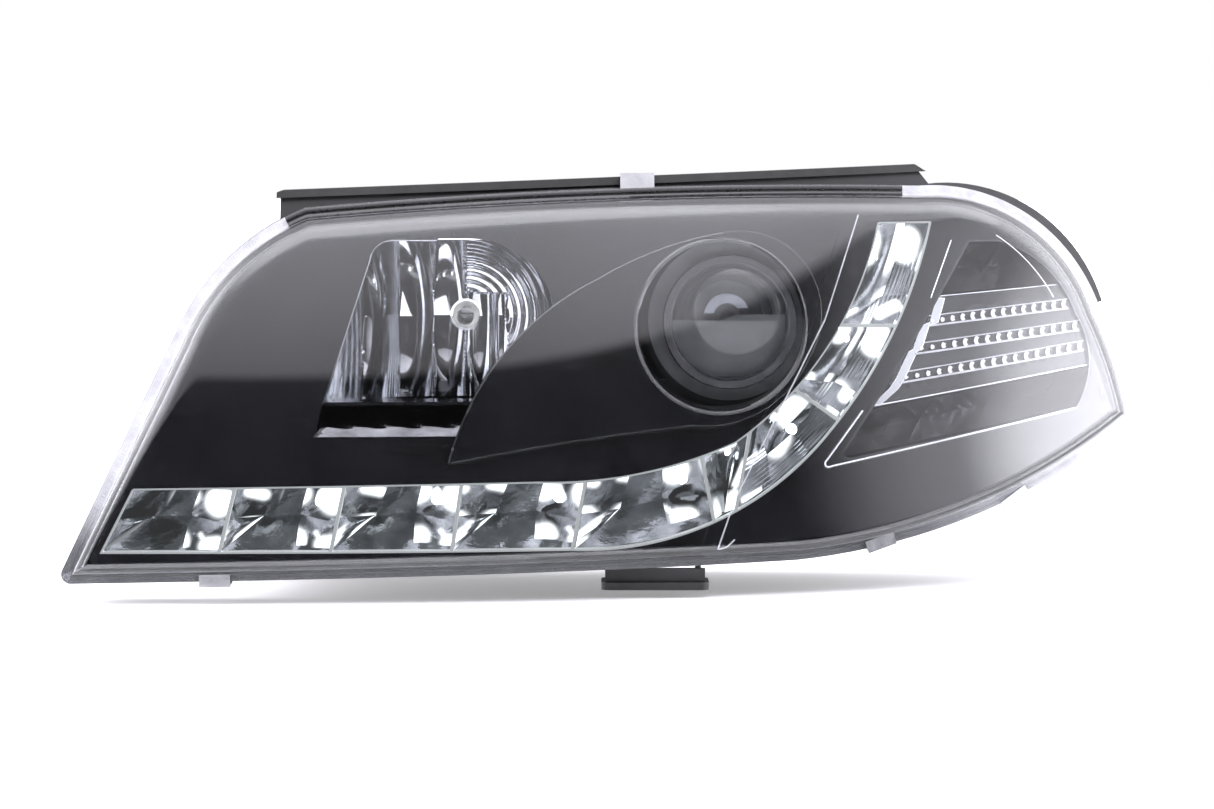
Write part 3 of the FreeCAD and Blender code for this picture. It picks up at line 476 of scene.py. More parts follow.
COVER_CLEAR = clear("cover_clear", (0.985, 0.99, 0.995), 0.05, (0.0, 0.015))
RIM_FROST = clear("rim_frost", (0.95, 0.96, 0.97), 0.05, (0.05, 0.2), (0.45, (0.84, 0.84, 0.87)), 0.12)
MOULD_LINE = clear("mould_line", (0.9, 0.9, 0.92), 0.05, (0.05, 0.2), (0.6, (0.8, 0.8, 0.83)))
TRIM_BLACK = moulded("trim_gloss_black", (0.006, 0.006, 0.007), (0.012, 0.012, 0.014), (0.1, 0.17),
                     0.02, 900.0, 0.4)
HOUSING_BLACK = moulded("housing_black", (0.014, 0.014, 0.015), (0.024, 0.024, 0.026), (0.42, 0.58), 0.25)
RUBBER = moulded("seal_rubber", (0.012, 0.012, 0.012), (0.022, 0.022, 0.022), (0.55, 0.75), 0.2, 1600.0)
RUBBER_SHINY = moulded("seal_skin", (0.012, 0.012, 0.013), (0.02, 0.02, 0.021), (0.22, 0.34),
                       0.05, 1600.0)
NYLON = moulded("nylon_natural", (0.4, 0.388, 0.35), (0.48, 0.466, 0.42), (0.35, 0.5), 0.12, 1800.0)
BOARD = moulded("board_white", (0.74, 0.77, 0.76), (0.82, 0.85, 0.84), (0.4, 0.5), 0.05, 1200.0)
CHROME = metal("chrome_bright", (0.82, 0.84, 0.87), (0.9, 0.92, 0.95), (0.03, 0.08), 0.03)
# painted shade: the bright metallised lens ring gets a near-black base, standing in for the dark surroundings
# it mirrors
CHROME_RING_PAINTED_SHADE = metal("chrome_ring", (0.028, 0.028, 0.03), (0.045, 0.045, 0.047), (0.05, 0.1), 0.03)
HIGH_CHROME = metal("high_beam_chrome", (0.42, 0.43, 0.45), (0.66, 0.67, 0.7), (0.03, 0.09), 0.04, 400.0)
SPRING = metal("spring_steel", (0.36, 0.365, 0.38), (0.5, 0.505, 0.52), (0.16, 0.28), 0.12, 1400.0)
ZINC = metal("zinc_steel", (0.48, 0.49, 0.48), (0.62, 0.62, 0.58), (0.28, 0.42), 0.15, 1100.0)
CAST = metal("cast_aluminium", (0.18, 0.186, 0.19), (0.25, 0.256, 0.26), (0.42, 0.58), 0.4, 700.0)
BRASS = metal("contact_brass", (0.7, 0.55, 0.28), (0.8, 0.66, 0.36), (0.2, 0.32), 0.05)
# painted shade: the clear lens is tinted grey, standing in for the dark barrel that a refracting lens would
# show
LENS_GLASS_PAINTED_SHADE = clear("projector_glass", (0.61, 0.615, 0.63), 0.045, (0.0, 0.01))
QUARTZ = clear("bulb_quartz", (0.96, 0.96, 0.97), 0.04, (0.0, 0.02))
BAR_CLEAR = clear("light_bar_acrylic", (0.45, 0.455, 0.465), 0.04, (0.01, 0.06), (0.05, (0.5, 0.5, 0.52)))
# chrome of the light strip, with painted glow
PAINTED_GLOW_CHROME = painted_glow_chrome("drl_chrome")
RIM_CHROME = metal("rim_chrome", (0.5, 0.51, 0.53), (0.66, 0.67, 0.7), (0.1, 0.2), 0.05, 600.0)
SMOKED_CHROME = metal("indicator_chrome", (0.07, 0.07, 0.075), (0.16, 0.16, 0.168), (0.14, 0.24),
                      0.1, 300.0)
MARK_WHITE = moulded("light_bar_marks", (0.7, 0.7, 0.71), (0.86, 0.86, 0.87), (0.2, 0.3), 0.03)
TRIM_MIRROR = metal("trim_mirror_black", (0.1, 0.1, 0.105), (0.2, 0.2, 0.21), (0.03, 0.1), 0.04, 300.0)
# painted highlight: the same black plastic made lighter, so the raised edge line shows as a highlight
TRIM_EDGE_PAINTED_HIGHLIGHT = moulded("trim_edge_black", (0.03, 0.03, 0.032), (0.05, 0.05, 0.052), (0.2, 0.3),
                    0.02, 900.0, 0.4)
LAMP_LIT = glowing("led_lit", (0.92, 0.96, 1.0), 12.0)
LAMP_CLEAR = moulded("led_unlit", (0.72, 0.72, 0.7), (0.84, 0.84, 0.82), (0.15, 0.25), 0.03)

CAD_FINISH = {
    HOUSING_BLACK: ("housing_front", "housing_body", "housing_rear", "lower_bracket", "top_rail",
                    "aiming_frame", "high_cap", "low_cap", "level_motor", "main_connector",
                    "pivot_bracket"),
    RUBBER: ("hood_seal", "lens_seal", "vent_caps", "motor_seal", "high_cap_seal", "low_cap_seal"),
    SPRING: ("lens_clips", "high_bulb_clip", "low_bulb_clip"),
    ZINC: ("mount_bushes", "carrier_screws", "pivot_screws", "driver_screws", "vertical_rod",
           "lateral_rod", "high_bulb_base", "low_bulb_base", "cutoff_shield"),
    NYLON: ("vertical_knob", "lateral_knob", "lateral_bush", "ball_sockets", "trunnion", "high_bulb_plug",
            "low_bulb_plug", "indicator_pillars"),
    CAST: ("led_driver", "projector_barrel"),
    CHROME: ("projector_reflector", "drl_reflector", "indicator_reflector", "high_reflector"),
    CHROME_RING_PAINTED_SHADE: ("projector_lens_ring",),
    TRIM_BLACK: ("trim_bezel", "high_beam_tunnel", "projector_sleeve", "projector_shroud"),
    BOARD: ("drl_board", "indicator_board"),
    BRASS: ("connector_pins",),
    LAMP_LIT: ("drl_leds",),
    LAMP_CLEAR: ("indicator_leds",),
    COVER_CLEAR: ("lens_cover",),
    LENS_GLASS_PAINTED_SHADE: ("projector_lens",),
    QUARTZ: ("high_bulb_glass", "low_bulb_glass"),
    BAR_CLEAR: ("indicator_light_bars",),
}


def paint_cad():
    """Gives each carried CAD node its finish."""
    for material, names in CAD_FINISH.items():
        for name in names:
            mesh = NODES[name].data
            mesh.materials.clear()
            mesh.materials.append(material)


# ---- outlines --------
COVER = blunted(outline((5, 3), (62, 125), ((91, 168), (128, 191.5)), ((281, 200.8), (453, 201.5)),
                        ((520, 181.5), (553.6, 135)), ((566, 104), (573, 76)),
                        ((493.6, 34.4), (385, 10.5)), ((200, 6.5), (5, 3)), step=2.0), 3)
HIGH_SIDES = ((161, 166), ((164.5, 173.5), (173, 177)), (212, 177), ((247, 161.5), (258, 140)),
              ((256, 112), (240, 93.5)))
SHELF_LOW, SHELF_HIGH = 76.0, 93.5          # foot and top of the ledge under the high beam
HIGH_OPENING = outline((138.5, SHELF_HIGH), *HIGH_SIDES, step=2.0)
INDICATOR = blunted(outline((404, 58), (540, 81), ((549, 108), (542, 133)), ((526, 158), (497, 174)),
                            (480, 174), ((444, 116), (404, 58))), 2)
SHROUD = outline((203, 62), ((226, 111), (280, 156)), ((312, 171), (350, 180)), ((396, 152), (392, 114)),
                 ((372, 90), (330, 80)), ((268, 73), (203, 62)))


# ---- the clear cover --------
def cover_round(z):
    """Radius of the cover's rolled edge: wide along the top and tight along the foot."""
    full = min(1.0, max(0.0, (z - ROUND_FROM) / ROUND_OVER))
    return COVER_ROUND * (FOOT_ROUND + (1 - FOOT_ROUND) * full)


def skin(loop, inset, start, back):
    """Front skin, inset from the cover's outside, whose edge rolls into a side wall back to depth back."""
    rings = [offset(loop, -COVER_ROUND * share) for share in (0.03, 0.1, 0.2, 0.35, 0.5, 0.7, 0.9)]
    flat, tris = fill(loop, spacing=6.0, clear=3.0, extra=rings)
    gaps = edge_distance(flat, tidy_loop(loop))
    verts = []
    for (x, z), gap in zip(flat, gaps):
        radius = cover_round(z) - inset
        short = max(0.0, radius - gap)
        roll = radius - math.sqrt(max(0.0, radius * radius - short * short))
        verts.append(behind(x, z, start + roll))
    edge = rim_edges(tris)
    first = len(verts)
    rim = sorted({i for e in edge for i in e})
    number = {v: first + k for k, v in enumerate(rim)}
    verts += [behind(*flat[i], back) for i in rim]
    faces = list(tris) + [(b, a, number[a], number[b]) for a, b in edge]
    return verts, faces


def flat_ring(outer, inner, depth):
    """Flat band between two loops at one depth."""
    flat, tris = fill(outer, [inner], spacing=50.0)
    return [behind(x, z, depth) for x, z in flat], tris


def make_cover():
    """One-piece clear cover: an outer and an inner skin, closed at the back."""
    wall = offset(COVER, -FLANGE)
    inner = offset(wall, -COVER_WALL)
    shell = joined(skin(wall, 0.0, 0.0, COVER_DEPTH), skin(inner, COVER_WALL, COVER_WALL, COVER_DEPTH),
                   flat_ring(wall, inner, COVER_DEPTH))
    piece("cover_shell", shell, COVER_CLEAR, slot="clear_cover", replaces=("lens_cover",), weld=2e-5)


def make_cover_flange():
    """Flange round the cover: a smooth inner line, a finely ridged face and a lip over the housing's rim.

    Each point of the profile is (inset, depth, height of the ridges).
    """
    fine = outline_resampled(COVER, 0.85)
    profile = ((4.6, 19.2, 0.0), (4.4, 17.9, 0.0), (3.5, 17.9, 0.0), (3.2, 18.5, 0.0), (2.9, 18.5, 0.3),
               (0.6, 18.7, 0.45), (0.3, 18.9, 0.0), (-RIM_LIP, 19.0, 0.0), (-RIM_LIP, 19.7, 0.0),
               (-0.1, 19.8, 0.0), (0.0, 24.0, 0.0), (4.6, 24.0, 0.0))
    rows = []
    for inset, depth, ridge in profile:
        loop = offset(fine, -inset)
        rows.append([behind(x, z, depth + ridge * (i % 2)) for i, (x, z) in enumerate(loop)])
    piece("cover_flange", strip_between(rows + rows[:1]), RIM_FROST, slot="clear_cover", sharp=25.0)


def make_seal_lip():
    """Double bead of the bonnet seal over the top of the cover's flange. Its points are (inset, depth)."""
    top = outline_resampled(COVER, 2.0)
    start, end = (int(np.argmin(np.hypot(*(top - p).T))) for p in SEAL_LIP_ENDS)
    beads = ((-1.3, 17.4), (-1.5, 16.3), (-0.6, 15.6), (0.6, 15.8), (1.2, 16.7),
             (1.8, 16.7), (2.3, 15.9), (3.3, 15.6), (4.1, 16.2), (4.2, 17.4))
    lines = [offset(top, -inset)[start:end] for inset, _ in beads]
    rows = [[behind(x, z, depth) for x, z in line] for line, (_, depth) in zip(lines, beads)]
    verts, faces = strip_between(rows + rows[:1], closed=False)
    length = len(lines[0])
    ends = [tuple(r * length for r in range(len(beads))),
            tuple((r + 1) * length - 1 for r in range(len(beads)))[::-1]]
    piece("seal_lip", (verts, faces + ends), RUBBER_SHINY, slot="seal_rubber", sharp=50.0)


def make_mould_line():
    """Raised line inside the cover, from its top edge across the light strip to a hook near its foot."""
    line = path((418.8, 188.2), (399.8, 133.6), (369.9, 77.5), (351.3, 42.2), (342.3, 16.9),
                (347.0, 18.0), (351.2, 21.8), step=2.0)
    ribbon("cover_mould_line", line, COVER_WALL + 0.6, 0.8, 0.5, MOULD_LINE, "clear_cover")


# ---- faceted reflectors --------
class Patch:
    """Four-sided area between two lines. (0, 0) starts the lower line and (1, 1) ends the upper."""

    def __init__(self, lower, upper):
        self.lower, self.upper = np.asarray(lower, float), np.asarray(upper, float)

    def at(self, u, v):
        low, high = part_way(self.lower, u), part_way(self.upper, u)
        return low + (high - low) * np.asarray(v)[..., None]

    def loop(self):
        return np.vstack([self.lower, self.upper[::-1]])


# painted glow on the chrome: its level far from any lamp, and the most painted glow there is
PAINTED_SPILL, FULL_PAINTED_GLOW = 0.03, 2.2                # glow far from any lamp, and the most there is


def painted_glow_at(points, glows):
    """Painted glow: how brightly lamps fill each point. A glow is (start, end, radius, strength), fading off
    a line.
    """
    total = np.full(len(points), PAINTED_SPILL)
    for start, end, radius, strength in glows:
        a, ab = np.array(start), np.array(end) - np.array(start)
        t = np.clip(((points - a) @ ab) / max(ab @ ab, 1e-9), 0, 1)
        gap = np.hypot(*(points - a - t[:, None] * ab).T) / radius
        total = np.maximum(total, strength * np.exp(-np.minimum(gap, 8.0) ** 3))
    return np.minimum(total, FULL_PAINTED_GLOW)


def facet(patch, corners, glows=(), bulge=0.0, flutes=0, flute_depth=0.5, across="v", detail=18):
    """One curved facet. Corners are four (u, v, depth), in order round. Flutes are ridges side by side."""
    if flutes:
        detail = max(detail, 6 * flutes)
    share = np.linspace(0.0, 1.0, detail + 1)
    s, t = (g.ravel() for g in np.meshgrid(share, share))
    a, b, c, d = (np.array(p, float) for p in corners)
    uvd = (a * ((1 - s) * (1 - t))[:, None] + b * (s * (1 - t))[:, None]
           + c * (s * t)[:, None] + d * ((1 - s) * t)[:, None])
    xz = patch.at(uvd[:, 0], uvd[:, 1])
    ridge = t if across == "v" else s
    depth = uvd[:, 2] + bulge * 16 * s * (1 - s) * t * (1 - t)
    if flutes:
        depth = depth + flute_depth * np.abs(np.sin(math.pi * flutes * ridge))
    verts = [place(x, front_y(x, z) + y, z) for (x, z), y in zip(xz, depth)]
    n = detail + 1
    faces = [(r * n + i, r * n + i + 1, (r + 1) * n + i + 1, (r + 1) * n + i)
             for r in range(detail) for i in range(detail)]
    # the third value is the facet's painted glow at each point
    return verts, faces, painted_glow_at(xz, glows)


def set_painted_glow(obj, values):
    obj.data.attributes.new("glow", "FLOAT", "POINT").data.foreach_set("value", values)


def faceted(name, facets, material, **options):
    """One piece from several facets, each smooth in itself, with its painted glow as a mesh attribute."""
    geometry = joined(*[(verts, faces) for verts, faces, _ in facets])
    obj = piece(name, geometry, material, slot="chrome_reflector", weld=0.0, sharp=60.0, **options)
    set_painted_glow(obj, np.concatenate([g for _, _, g in facets]).astype(np.float32))


# ---- daytime light strip --------
STRIP_LOWER = path((25, 17), (267, 17), ((341, 29.5), (403, 75)), ((436, 122), (460, 184)), step=1.5)
STRIP_UPPER = path((41.5, 50), (250, 52.5), ((303, 56.3), (352, 71)), ((400.5, 118), (430, 184)), step=1.5)
DIVIDERS = (((25, 17), (41.5, 50)), ((86, 17), (94, 50.6)), ((143, 17), (150, 51.2)),
            ((205, 17), (210, 52)), ((267, 17), (274, 53.2)), ((341, 29.5), (334, 64)),
            ((352, 35), (360, 76)), ((408, 80), (384, 97)), ((440, 129), (406, 130)),
            ((460, 184), (430, 184)))       # each wall between cells, on the lower line and on the upper
LONG_CELLS = 5                              # cells in the straight part
STRIP_FRONT, STRIP_POCKET = 18.3, 32.0
# even painted glow on the chrome frame between the cells, standing in for scattered lamp light
FRAME_PAINTED_GLOW = 0.5


def strip_cells():
    """The strip's cells as patches, from the inboard end."""
    return [Patch(cut_out(STRIP_LOWER, low_a, low_b), cut_out(STRIP_UPPER, up_a, up_b))
            for (low_a, up_a), (low_b, up_b) in zip(DIVIDERS, DIVIDERS[1:])]


def long_cell(patch, first=False):
    """Facets of a cell in the straight part, with painted glow round one lamp up on the right and a painted
    mirror image of it below.

    Each facet takes four corners (u, v, depth) and the painted glows that fall on it.
    """
    lamp, below = patch.at([0.80], [0.74])[0], patch.at([0.82], [0.07])[0]
    # painted glow: glare round the lamp (high), its painted mirror image (low) and painted highlights in the
    # corners (corner, left)
    high = [(lamp, lamp + (1.5, 1.0), 5.6, 7.0)]
    low = [(below, below + (5.0, 0.8), 4.0, 5.0), (patch.at([0.72], [0.25])[0], below, 1.3, 1.6)]
    corner = [(patch.at([0.07], [0.90])[0], patch.at([0.20], [0.84])[0], 2.8, 0.0 if first else 3.0)]
    left = [(patch.at([0.07], [0.08])[0], patch.at([0.20], [0.34])[0], 2.6, 0.3 if first else 3.2)]
    a, b, c, d = (0.02, 0.04, 21.0), (0.985, 0.04, 21.0), (0.985, 0.96, 21.0), (0.02, 0.96, 21.0)
    node, top, foot = (0.31, 0.52, 41.0), (0.37, 0.96, 28.0), (0.40, 0.04, 28.0)
    side, ridge, right = (0.02, 0.52, 23.0), (0.64, 0.55, 37.0), (0.985, 0.44, 25.0)
    low_mid, top_mid = (0.68, 0.04, 25.0), (0.66, 0.96, 26.0)
    return [facet(patch, (side, node, top, d), corner, bulge=1.2),
            facet(patch, (a, node, node, side), left, bulge=-2.0),
            facet(patch, (a, foot, node, node), (), bulge=0.6),
            facet(patch, (foot, low_mid, ridge, node), low, bulge=1.0),
            facet(patch, (low_mid, b, right, ridge), low, bulge=3.0),
            facet(patch, (node, ridge, top_mid, top), high, bulge=1.0),
            facet(patch, (ridge, right, c, top_mid), high, bulge=4.0)]


def wedge_cell(patch):
    """The narrow cell where the strip starts to rise: creases fan out of its lower corner."""
    lamp = patch.at([0.42], [0.80])[0]
    foot = (0.5, 0.05, 34.0)
    # painted glow round the lamp, and a painted highlight streak on the outer facet
    glow = [(lamp, lamp + (4.0, 1.5), 4.6, 7.0)]
    painted_streak = [(patch.at([0.7], [0.08])[0], patch.at([0.95], [0.30])[0], 1.6, 2.4)]
    return [facet(patch, ((0.05, 0.05, 22), foot, (0.30, 0.96, 25), (0.05, 0.96, 21)), (), bulge=1.0),
            facet(patch, (foot, foot, (0.72, 0.96, 27), (0.30, 0.96, 25)), glow, bulge=5.0),
            facet(patch, (foot, (0.95, 0.05, 22), (0.95, 0.96, 22), (0.72, 0.96, 27)), painted_streak, bulge=-1.5)]


def rising_cell(patch, inner, outer, entry=(), flutes=6):
    """A cell in the curved part: smooth along its inner half, fluted along its outer half."""
    # inner, outer and entry are painted glows: lamp glare and its reflections painted on the facets
    near, far = 0.02, 0.98
    middle, lip = 0.48, 0.30
    start, crest, end = (near, middle, 25), (lip, middle, 30), (far, middle, 26)
    notch = (lip, 0.04, 24)
    peak = (lip - 0.12, 0.96, 25)
    return [facet(patch, ((near, 0.04, 21), notch, crest, start), outer + list(entry),
                  bulge=1.5, flutes=flutes),
            facet(patch, (notch, (far, 0.04, 21), end, crest), outer, bulge=4.0, flutes=flutes),
            facet(patch, (start, crest, peak, (near, 0.96, 21)), list(entry), bulge=2.0),
            facet(patch, (crest, end, (far, 0.96, 21), peak), inner, bulge=5.0)]


def strip_facets():
    """Every facet of the strip. The rising cells' painted glows are (start, end, radius, strength) at their
    lamps.
    """
    cells = strip_cells()
    facets = []
    for number, patch in enumerate(cells[:LONG_CELLS]):
        facets += long_cell(patch, first=number == 0)
    facets += wedge_cell(cells[LONG_CELLS])
    # painted glow round the big lamp, and a painted highlight streak
    big, painted_streak = (381.5, 75.0), ((362, 42), (384, 53), 2.2, 2.6)
    facets += rising_cell(cells[6], [(big, (383, 78), 6.6, 7.0), ((356, 66), (372, 82), 1.1, 2.4)],
                          [(big, (383, 78), 6.0, 5.0)], [painted_streak], flutes=7)
    facets += rising_cell(cells[7], [((410, 121), (412, 125), 4.4, 7.0)],
                          [((425, 114), (427, 119), 5.4, 7.0)],
                          [((388, 100), (398, 111), 1.5, 4.0), ((410, 90), (417, 100), 3.0, 3.4)])
    facets += rising_cell(cells[8], [((426, 162), (428, 167), 5.2, 7.0)],
                          [((444, 162), (446, 168), 5.2, 7.0)],
                          [((411, 133), (421, 138), 2.0, 5.0), ((430, 133), (439, 137), 2.6, 5.0)])
    return facets


def strip_outline():
    return outline_resampled(np.vstack([STRIP_LOWER, STRIP_UPPER[::-1]]), 1.5)


def make_strip():
    """Frame round the strip's cells, and the facets in them."""
    holes = [offset(outline_resampled(cell.loop(), 1.5), -0.85) for cell in strip_cells()]
    shape = plate(strip_outline(), holes, STRIP_FRONT, STRIP_POCKET, spacing=30.0)
    ribs = piece("drl_frame", shape, PAINTED_GLOW_CHROME, slot="chrome_reflector", replaces=("drl_reflector",),
                 bevel=0.3)
    # painted glow: the frame's chrome emits evenly, as if lit by the lamps
    set_painted_glow(ribs, [FRAME_PAINTED_GLOW] * len(ribs.data.vertices))
    faceted("drl_facets", strip_facets(), PAINTED_GLOW_CHROME)


def make_strip_lamps():
    """Small domes: one in each long cell, one in each of the next two, and a pair in each of the last two."""
    geometry = []
    lamps = [tuple(patch.at([0.81], [0.76])[0]) for patch in strip_cells()[:LONG_CELLS]]
    turns = [math.radians(a) for a in range(0, 91, 15)]
    for x, z in lamps + [(347, 66), (382, 76), (411, 123), (426, 117), (427, 165), (445, 165)]:
        y = front_y(x, z) + LAMP_DEPTH
        profile = [(LAMP_RADIUS * math.cos(a) + 1e-4, y - LAMP_RADIUS * math.sin(a)) for a in turns]
        profile += [(1e-4, y + 2), (LAMP_RADIUS, y + 2)]
        geometry.append(lathe(profile, x, z, count=24))
    piece("drl_lamps", joined(*geometry), LAMP_LIT, slot="led_white", replaces=("drl_leds",))


# ---- high-beam reflector --------
HIGH_VERTEX, HIGH_FOCAL = 149.6, 27.0
HIGH_BANDS = (128.0, 156.0, 174.6, 193.0, 209.0, 222.5, 232.0)
RING_STEP, RING_RISE = 4.2, 0.5


def high_depth(x, z):
    """Y of the high beam's stepped bowl: pillowed columns inboard, rings outboard."""
    dx, dz = x - HIGH[0], z - HIGH[1]
    r = math.hypot(dx, dz)
    y = HIGH_VERTEX - r * r / (4 * HIGH_FOCAL)
    if x < HIGH_BANDS[-1] and not (x > HIGH[0] and dz > 12):
        k = sum(x > edge for edge in HIGH_BANDS) - 1
        low, high = HIGH_BANDS[max(k, 0)], HIGH_BANDS[min(k + 1, len(HIGH_BANDS) - 1)]
        t = (2 * x - low - high) / max(high - low, 1e-6)
        y -= 2.4 * (1 - t * t) + 0.5
        y -= 0.05 * abs(dz) * (1 if k % 2 else 0.3)
    else:
        y -= RING_RISE * (0.5 - 0.5 * math.cos(2 * math.pi * r / RING_STEP)) + 0.4
    return y


def make_high_reflector():
    """Facets of the high beam's bowl, and the bright line round its opening."""
    opening = outline_resampled(offset(HIGH_OPENING, 1.0), 2.0)
    flat, tris = fill(opening, [circle(*HIGH, HIGH_HOLE, 32)], spacing=1.1, clear=0.5)
    verts = [place(x, min(high_depth(x, z), HIGH_VERTEX - 0.4), z) for x, z in flat]
    piece("high_facets", (verts, tris), HIGH_CHROME, body="aiming_carrier", slot="chrome_reflector",
          sharp=28.0, weld=0.0)
    edge = path((139.5, 95), (161.6, 165.8), ((165.2, 173.4), (172, 176)), (196, 176), step=2.0)
    ribbon("high_edge", edge, TRIM_BACK - 1.2, 0.9, 0.6, RIM_CHROME, "black_trim")


# ---- black trim and shroud --------
SHELF_DEPTH = 16.0


def trim_tube(name, bore, outside, end, replaced):
    """Short tube behind an opening in the trim panel, back to Y = end."""
    near = [[behind(x, z, TRIM_BACK - 0.2) for x, z in loop] for loop in (bore, outside)]
    far = [[place(x, max(end, front_y(x, z) + TRIM_BACK + 2), z) for x, z in loop]
           for loop in (outside, bore)]
    piece(name, strip_between(near + far + near[:1]), TRIM_BLACK, slot="black_trim", replaces=(replaced,))


def make_trim():
    """Black panel with its openings, the tunnel and sleeve behind two of them, and the ledge."""
    opening = outline((134.5, SHELF_LOW), (138.5, SHELF_HIGH), *HIGH_SIDES, (232, SHELF_LOW))
    x, z, radius = SHROUD_RING
    bore = circle(x, z, radius)
    holes = [outline_resampled(opening, 2.0), strip_outline(), outline_resampled(INDICATOR, 2.0), bore]
    outer = outline_resampled(offset(COVER, -TRIM_INSET), 2.5)
    sheet = plate(outer, holes, TRIM_FRONT, TRIM_BACK, spacing=6.0)
    piece("trim_panel", sheet, TRIM_BLACK, slot="black_trim", replaces=("trim_bezel",), bevel=0.5)
    tunnel = outline_resampled(HIGH_OPENING, 2.0)
    trim_tube("trim_tunnel", tunnel, offset(tunnel, TUNNEL_WALL), TUNNEL_END, "high_beam_tunnel")
    trim_tube("trim_sleeve", bore, circle(x, z, radius + SLEEVE_WALL), SLEEVE_END, "projector_sleeve")
    make_shelf()


def make_shelf():
    """Glossy ledge under the high beam, sloping back from the trim to the foot of the reflector."""
    loop = outline((134.5, SHELF_LOW), (138.5, SHELF_HIGH), (240, SHELF_HIGH), (232, SHELF_LOW), step=2.0)
    flat, tris = fill(loop, spacing=1.6)

    def depth(x, z):
        share = (z - SHELF_LOW) / (SHELF_HIGH - SHELF_LOW)
        wave = 0.35 * math.sin(z * 2.1) + 0.15 * math.sin(x * 0.35 + z)
        return TRIM_FRONT + 1.0 + SHELF_DEPTH * share + wave * min(1.0, 4 * share * (1.1 - share))
    verts = [behind(x, z, depth(x, z) + below) for below in (0.0, 1.5) for x, z in flat]
    piece("trim_shelf", (verts, thickened(tris, len(flat))), TRIM_MIRROR, slot="black_trim")


def make_shroud():
    """Raised panel that sweeps round the projector, with a rolled edge."""
    x, z, radius = SHROUD_RING
    loop = outline_resampled(blunted(SHROUD, 1.2), 2.0)
    panel = plate(loop, [circle(x, z, radius)], SHROUD_FRONT, SHROUD_BACK)
    piece("shroud_panel", panel, TRIM_BLACK, slot="black_trim", replaces=("projector_shroud",), bevel=1.1)
    profile = ((0.0, 0.0), (1.4, -1.0), (2.6, 0.0), (2.2, 1.4), (0.2, 1.4))
    rows = [[behind(px, pz, SHROUD_FRONT + y) for px, pz in circle(x, z, radius + r)] for r, y in profile]
    piece("shroud_lip", strip_between(rows + rows[:1]), TRIM_BLACK, slot="black_trim", sharp=60.0)
    # raised edge line along the swoosh; its lighter colour is a painted highlight
    edge = path((203.5, 62.5), ((226.4, 111), (280.2, 155.6)), ((312, 170.4), (346, 179)), step=2.0)
    ribbon("shroud_edge", edge, 14.3, 1.1, 0.6, TRIM_EDGE_PAINTED_HIGHLIGHT, "black_trim")


def ribbon(name, line, depth, width, height, material, slot):
    """Thin raised line on a surface: a strip of the given width and height that follows an open line."""
    line = part_way(line, np.linspace(0, 1, max(3, round(len(line) * 1.5))))
    along = np.gradient(line, axis=0)
    along /= np.hypot(*along.T)[:, None]
    across = np.stack([-along[:, 1], along[:, 0]], 1) * width / 2
    rows = [[behind(px, pz, depth + dy) for px, pz in line + across * side]
            for side, dy in ((-1, 0.0), (-0.5, -height), (0.5, -height), (1, 0.0))]
    verts, faces = strip_between(rows, closed=False)
    return piece(name, (verts, faces), material, slot=slot, sharp=60.0)


# ---- indicator --------
BAR_TOP = ((458.4, 143.5), (537.7, 149.0))
BAR_FOOT = ((424.0, 87.3), (551.0, 106.0))
BAR_ENDS = ((461.5, 143.5), (457.5, 130.5), (452.5, 129.0), (448.0, 116.5), (445.5, 115.5),
            (438.5, 101.5), (434.5, 96.0), (424.5, 88.0))
BAR_ROWS = (((441.0, 101.6), (545.0, 115.5), 17), ((449.6, 116.5), (542.5, 126.4), 15),
            ((456.0, 131.0), (536.5, 138.2), 14))      # each row's two ends and its number of marks
BOWL_COLUMNS, FLUTED_COLUMNS = 7, (2, 3)


def make_indicator_reflector():
    """Chrome bowl in three storeys: above the light bars, behind them and below them."""
    upper = Patch(path((462, 144.5), (538, 150), step=3),
                  path((480, 172), (500, 172), ((524, 158), (536, 148)), step=2))
    middle = Patch(path((427, 88), (547, 107), step=3), path((460, 143), (535, 149), step=3))
    lower = Patch(path((406, 60.5), (539, 82.5), step=3), path((425, 86), (548, 104), step=3))
    facets = []
    for patch, front, back, storey in ((upper, 24, 44, 0), (middle, 34, 44, 1), (lower, 24, 42, 2)):
        for i in range(BOWL_COLUMNS):
            u0, u1 = i / BOWL_COLUMNS, (i + 1) / BOWL_COLUMNS
            tilt = 3.0 if (i + storey) % 2 else -1.5
            left, right = (u0, 0.5, back), (u1, 0.5, back + tilt)
            for corners in (((u0, 0.02, front), (u1, 0.02, front), right, left),
                            (left, right, (u1, 0.98, front), (u0, 0.98, front))):
                facets.append(facet(patch, corners, bulge=1.5, flutes=3 if i in FLUTED_COLUMNS else 0,
                                    flute_depth=0.7, across="u", detail=14))
    faceted("indicator_facets", facets, SMOKED_CHROME, replaces=("indicator_reflector",))
    wall = outline_resampled(INDICATOR, 2.0)
    inner = offset(wall, -1.3)
    rows = [[behind(x, z, depth) for x, z in loop]
            for loop, depth in ((wall, 18.4), (wall, 50.0), (inner, 50.0), (inner, 18.4), (wall, 18.4))]
    piece("indicator_wall", strip_between(rows), SMOKED_CHROME, slot="chrome_reflector", bevel=0.3)
    lower_line = path((420, 85.5), (400.5, 60.5), ((399.6, 57.0), (403, 56.8)), (539, 82.3), step=2.0)
    left_line = path((458.4, 143.5), (470.5, 173.8), step=2.0)
    top_line = path((496, 176), ((516, 159), (528, 142)), step=2.0)
    for name, line, width, height in (("indicator_rim_low", lower_line, 1.5, 0.9),
                                      ("indicator_rim_left", left_line, 1.0, 0.7),
                                      ("indicator_rim_top", top_line, 0.8, 0.6)):
        ribbon(name, line, 17.9, width, height, RIM_CHROME, "chrome_reflector")


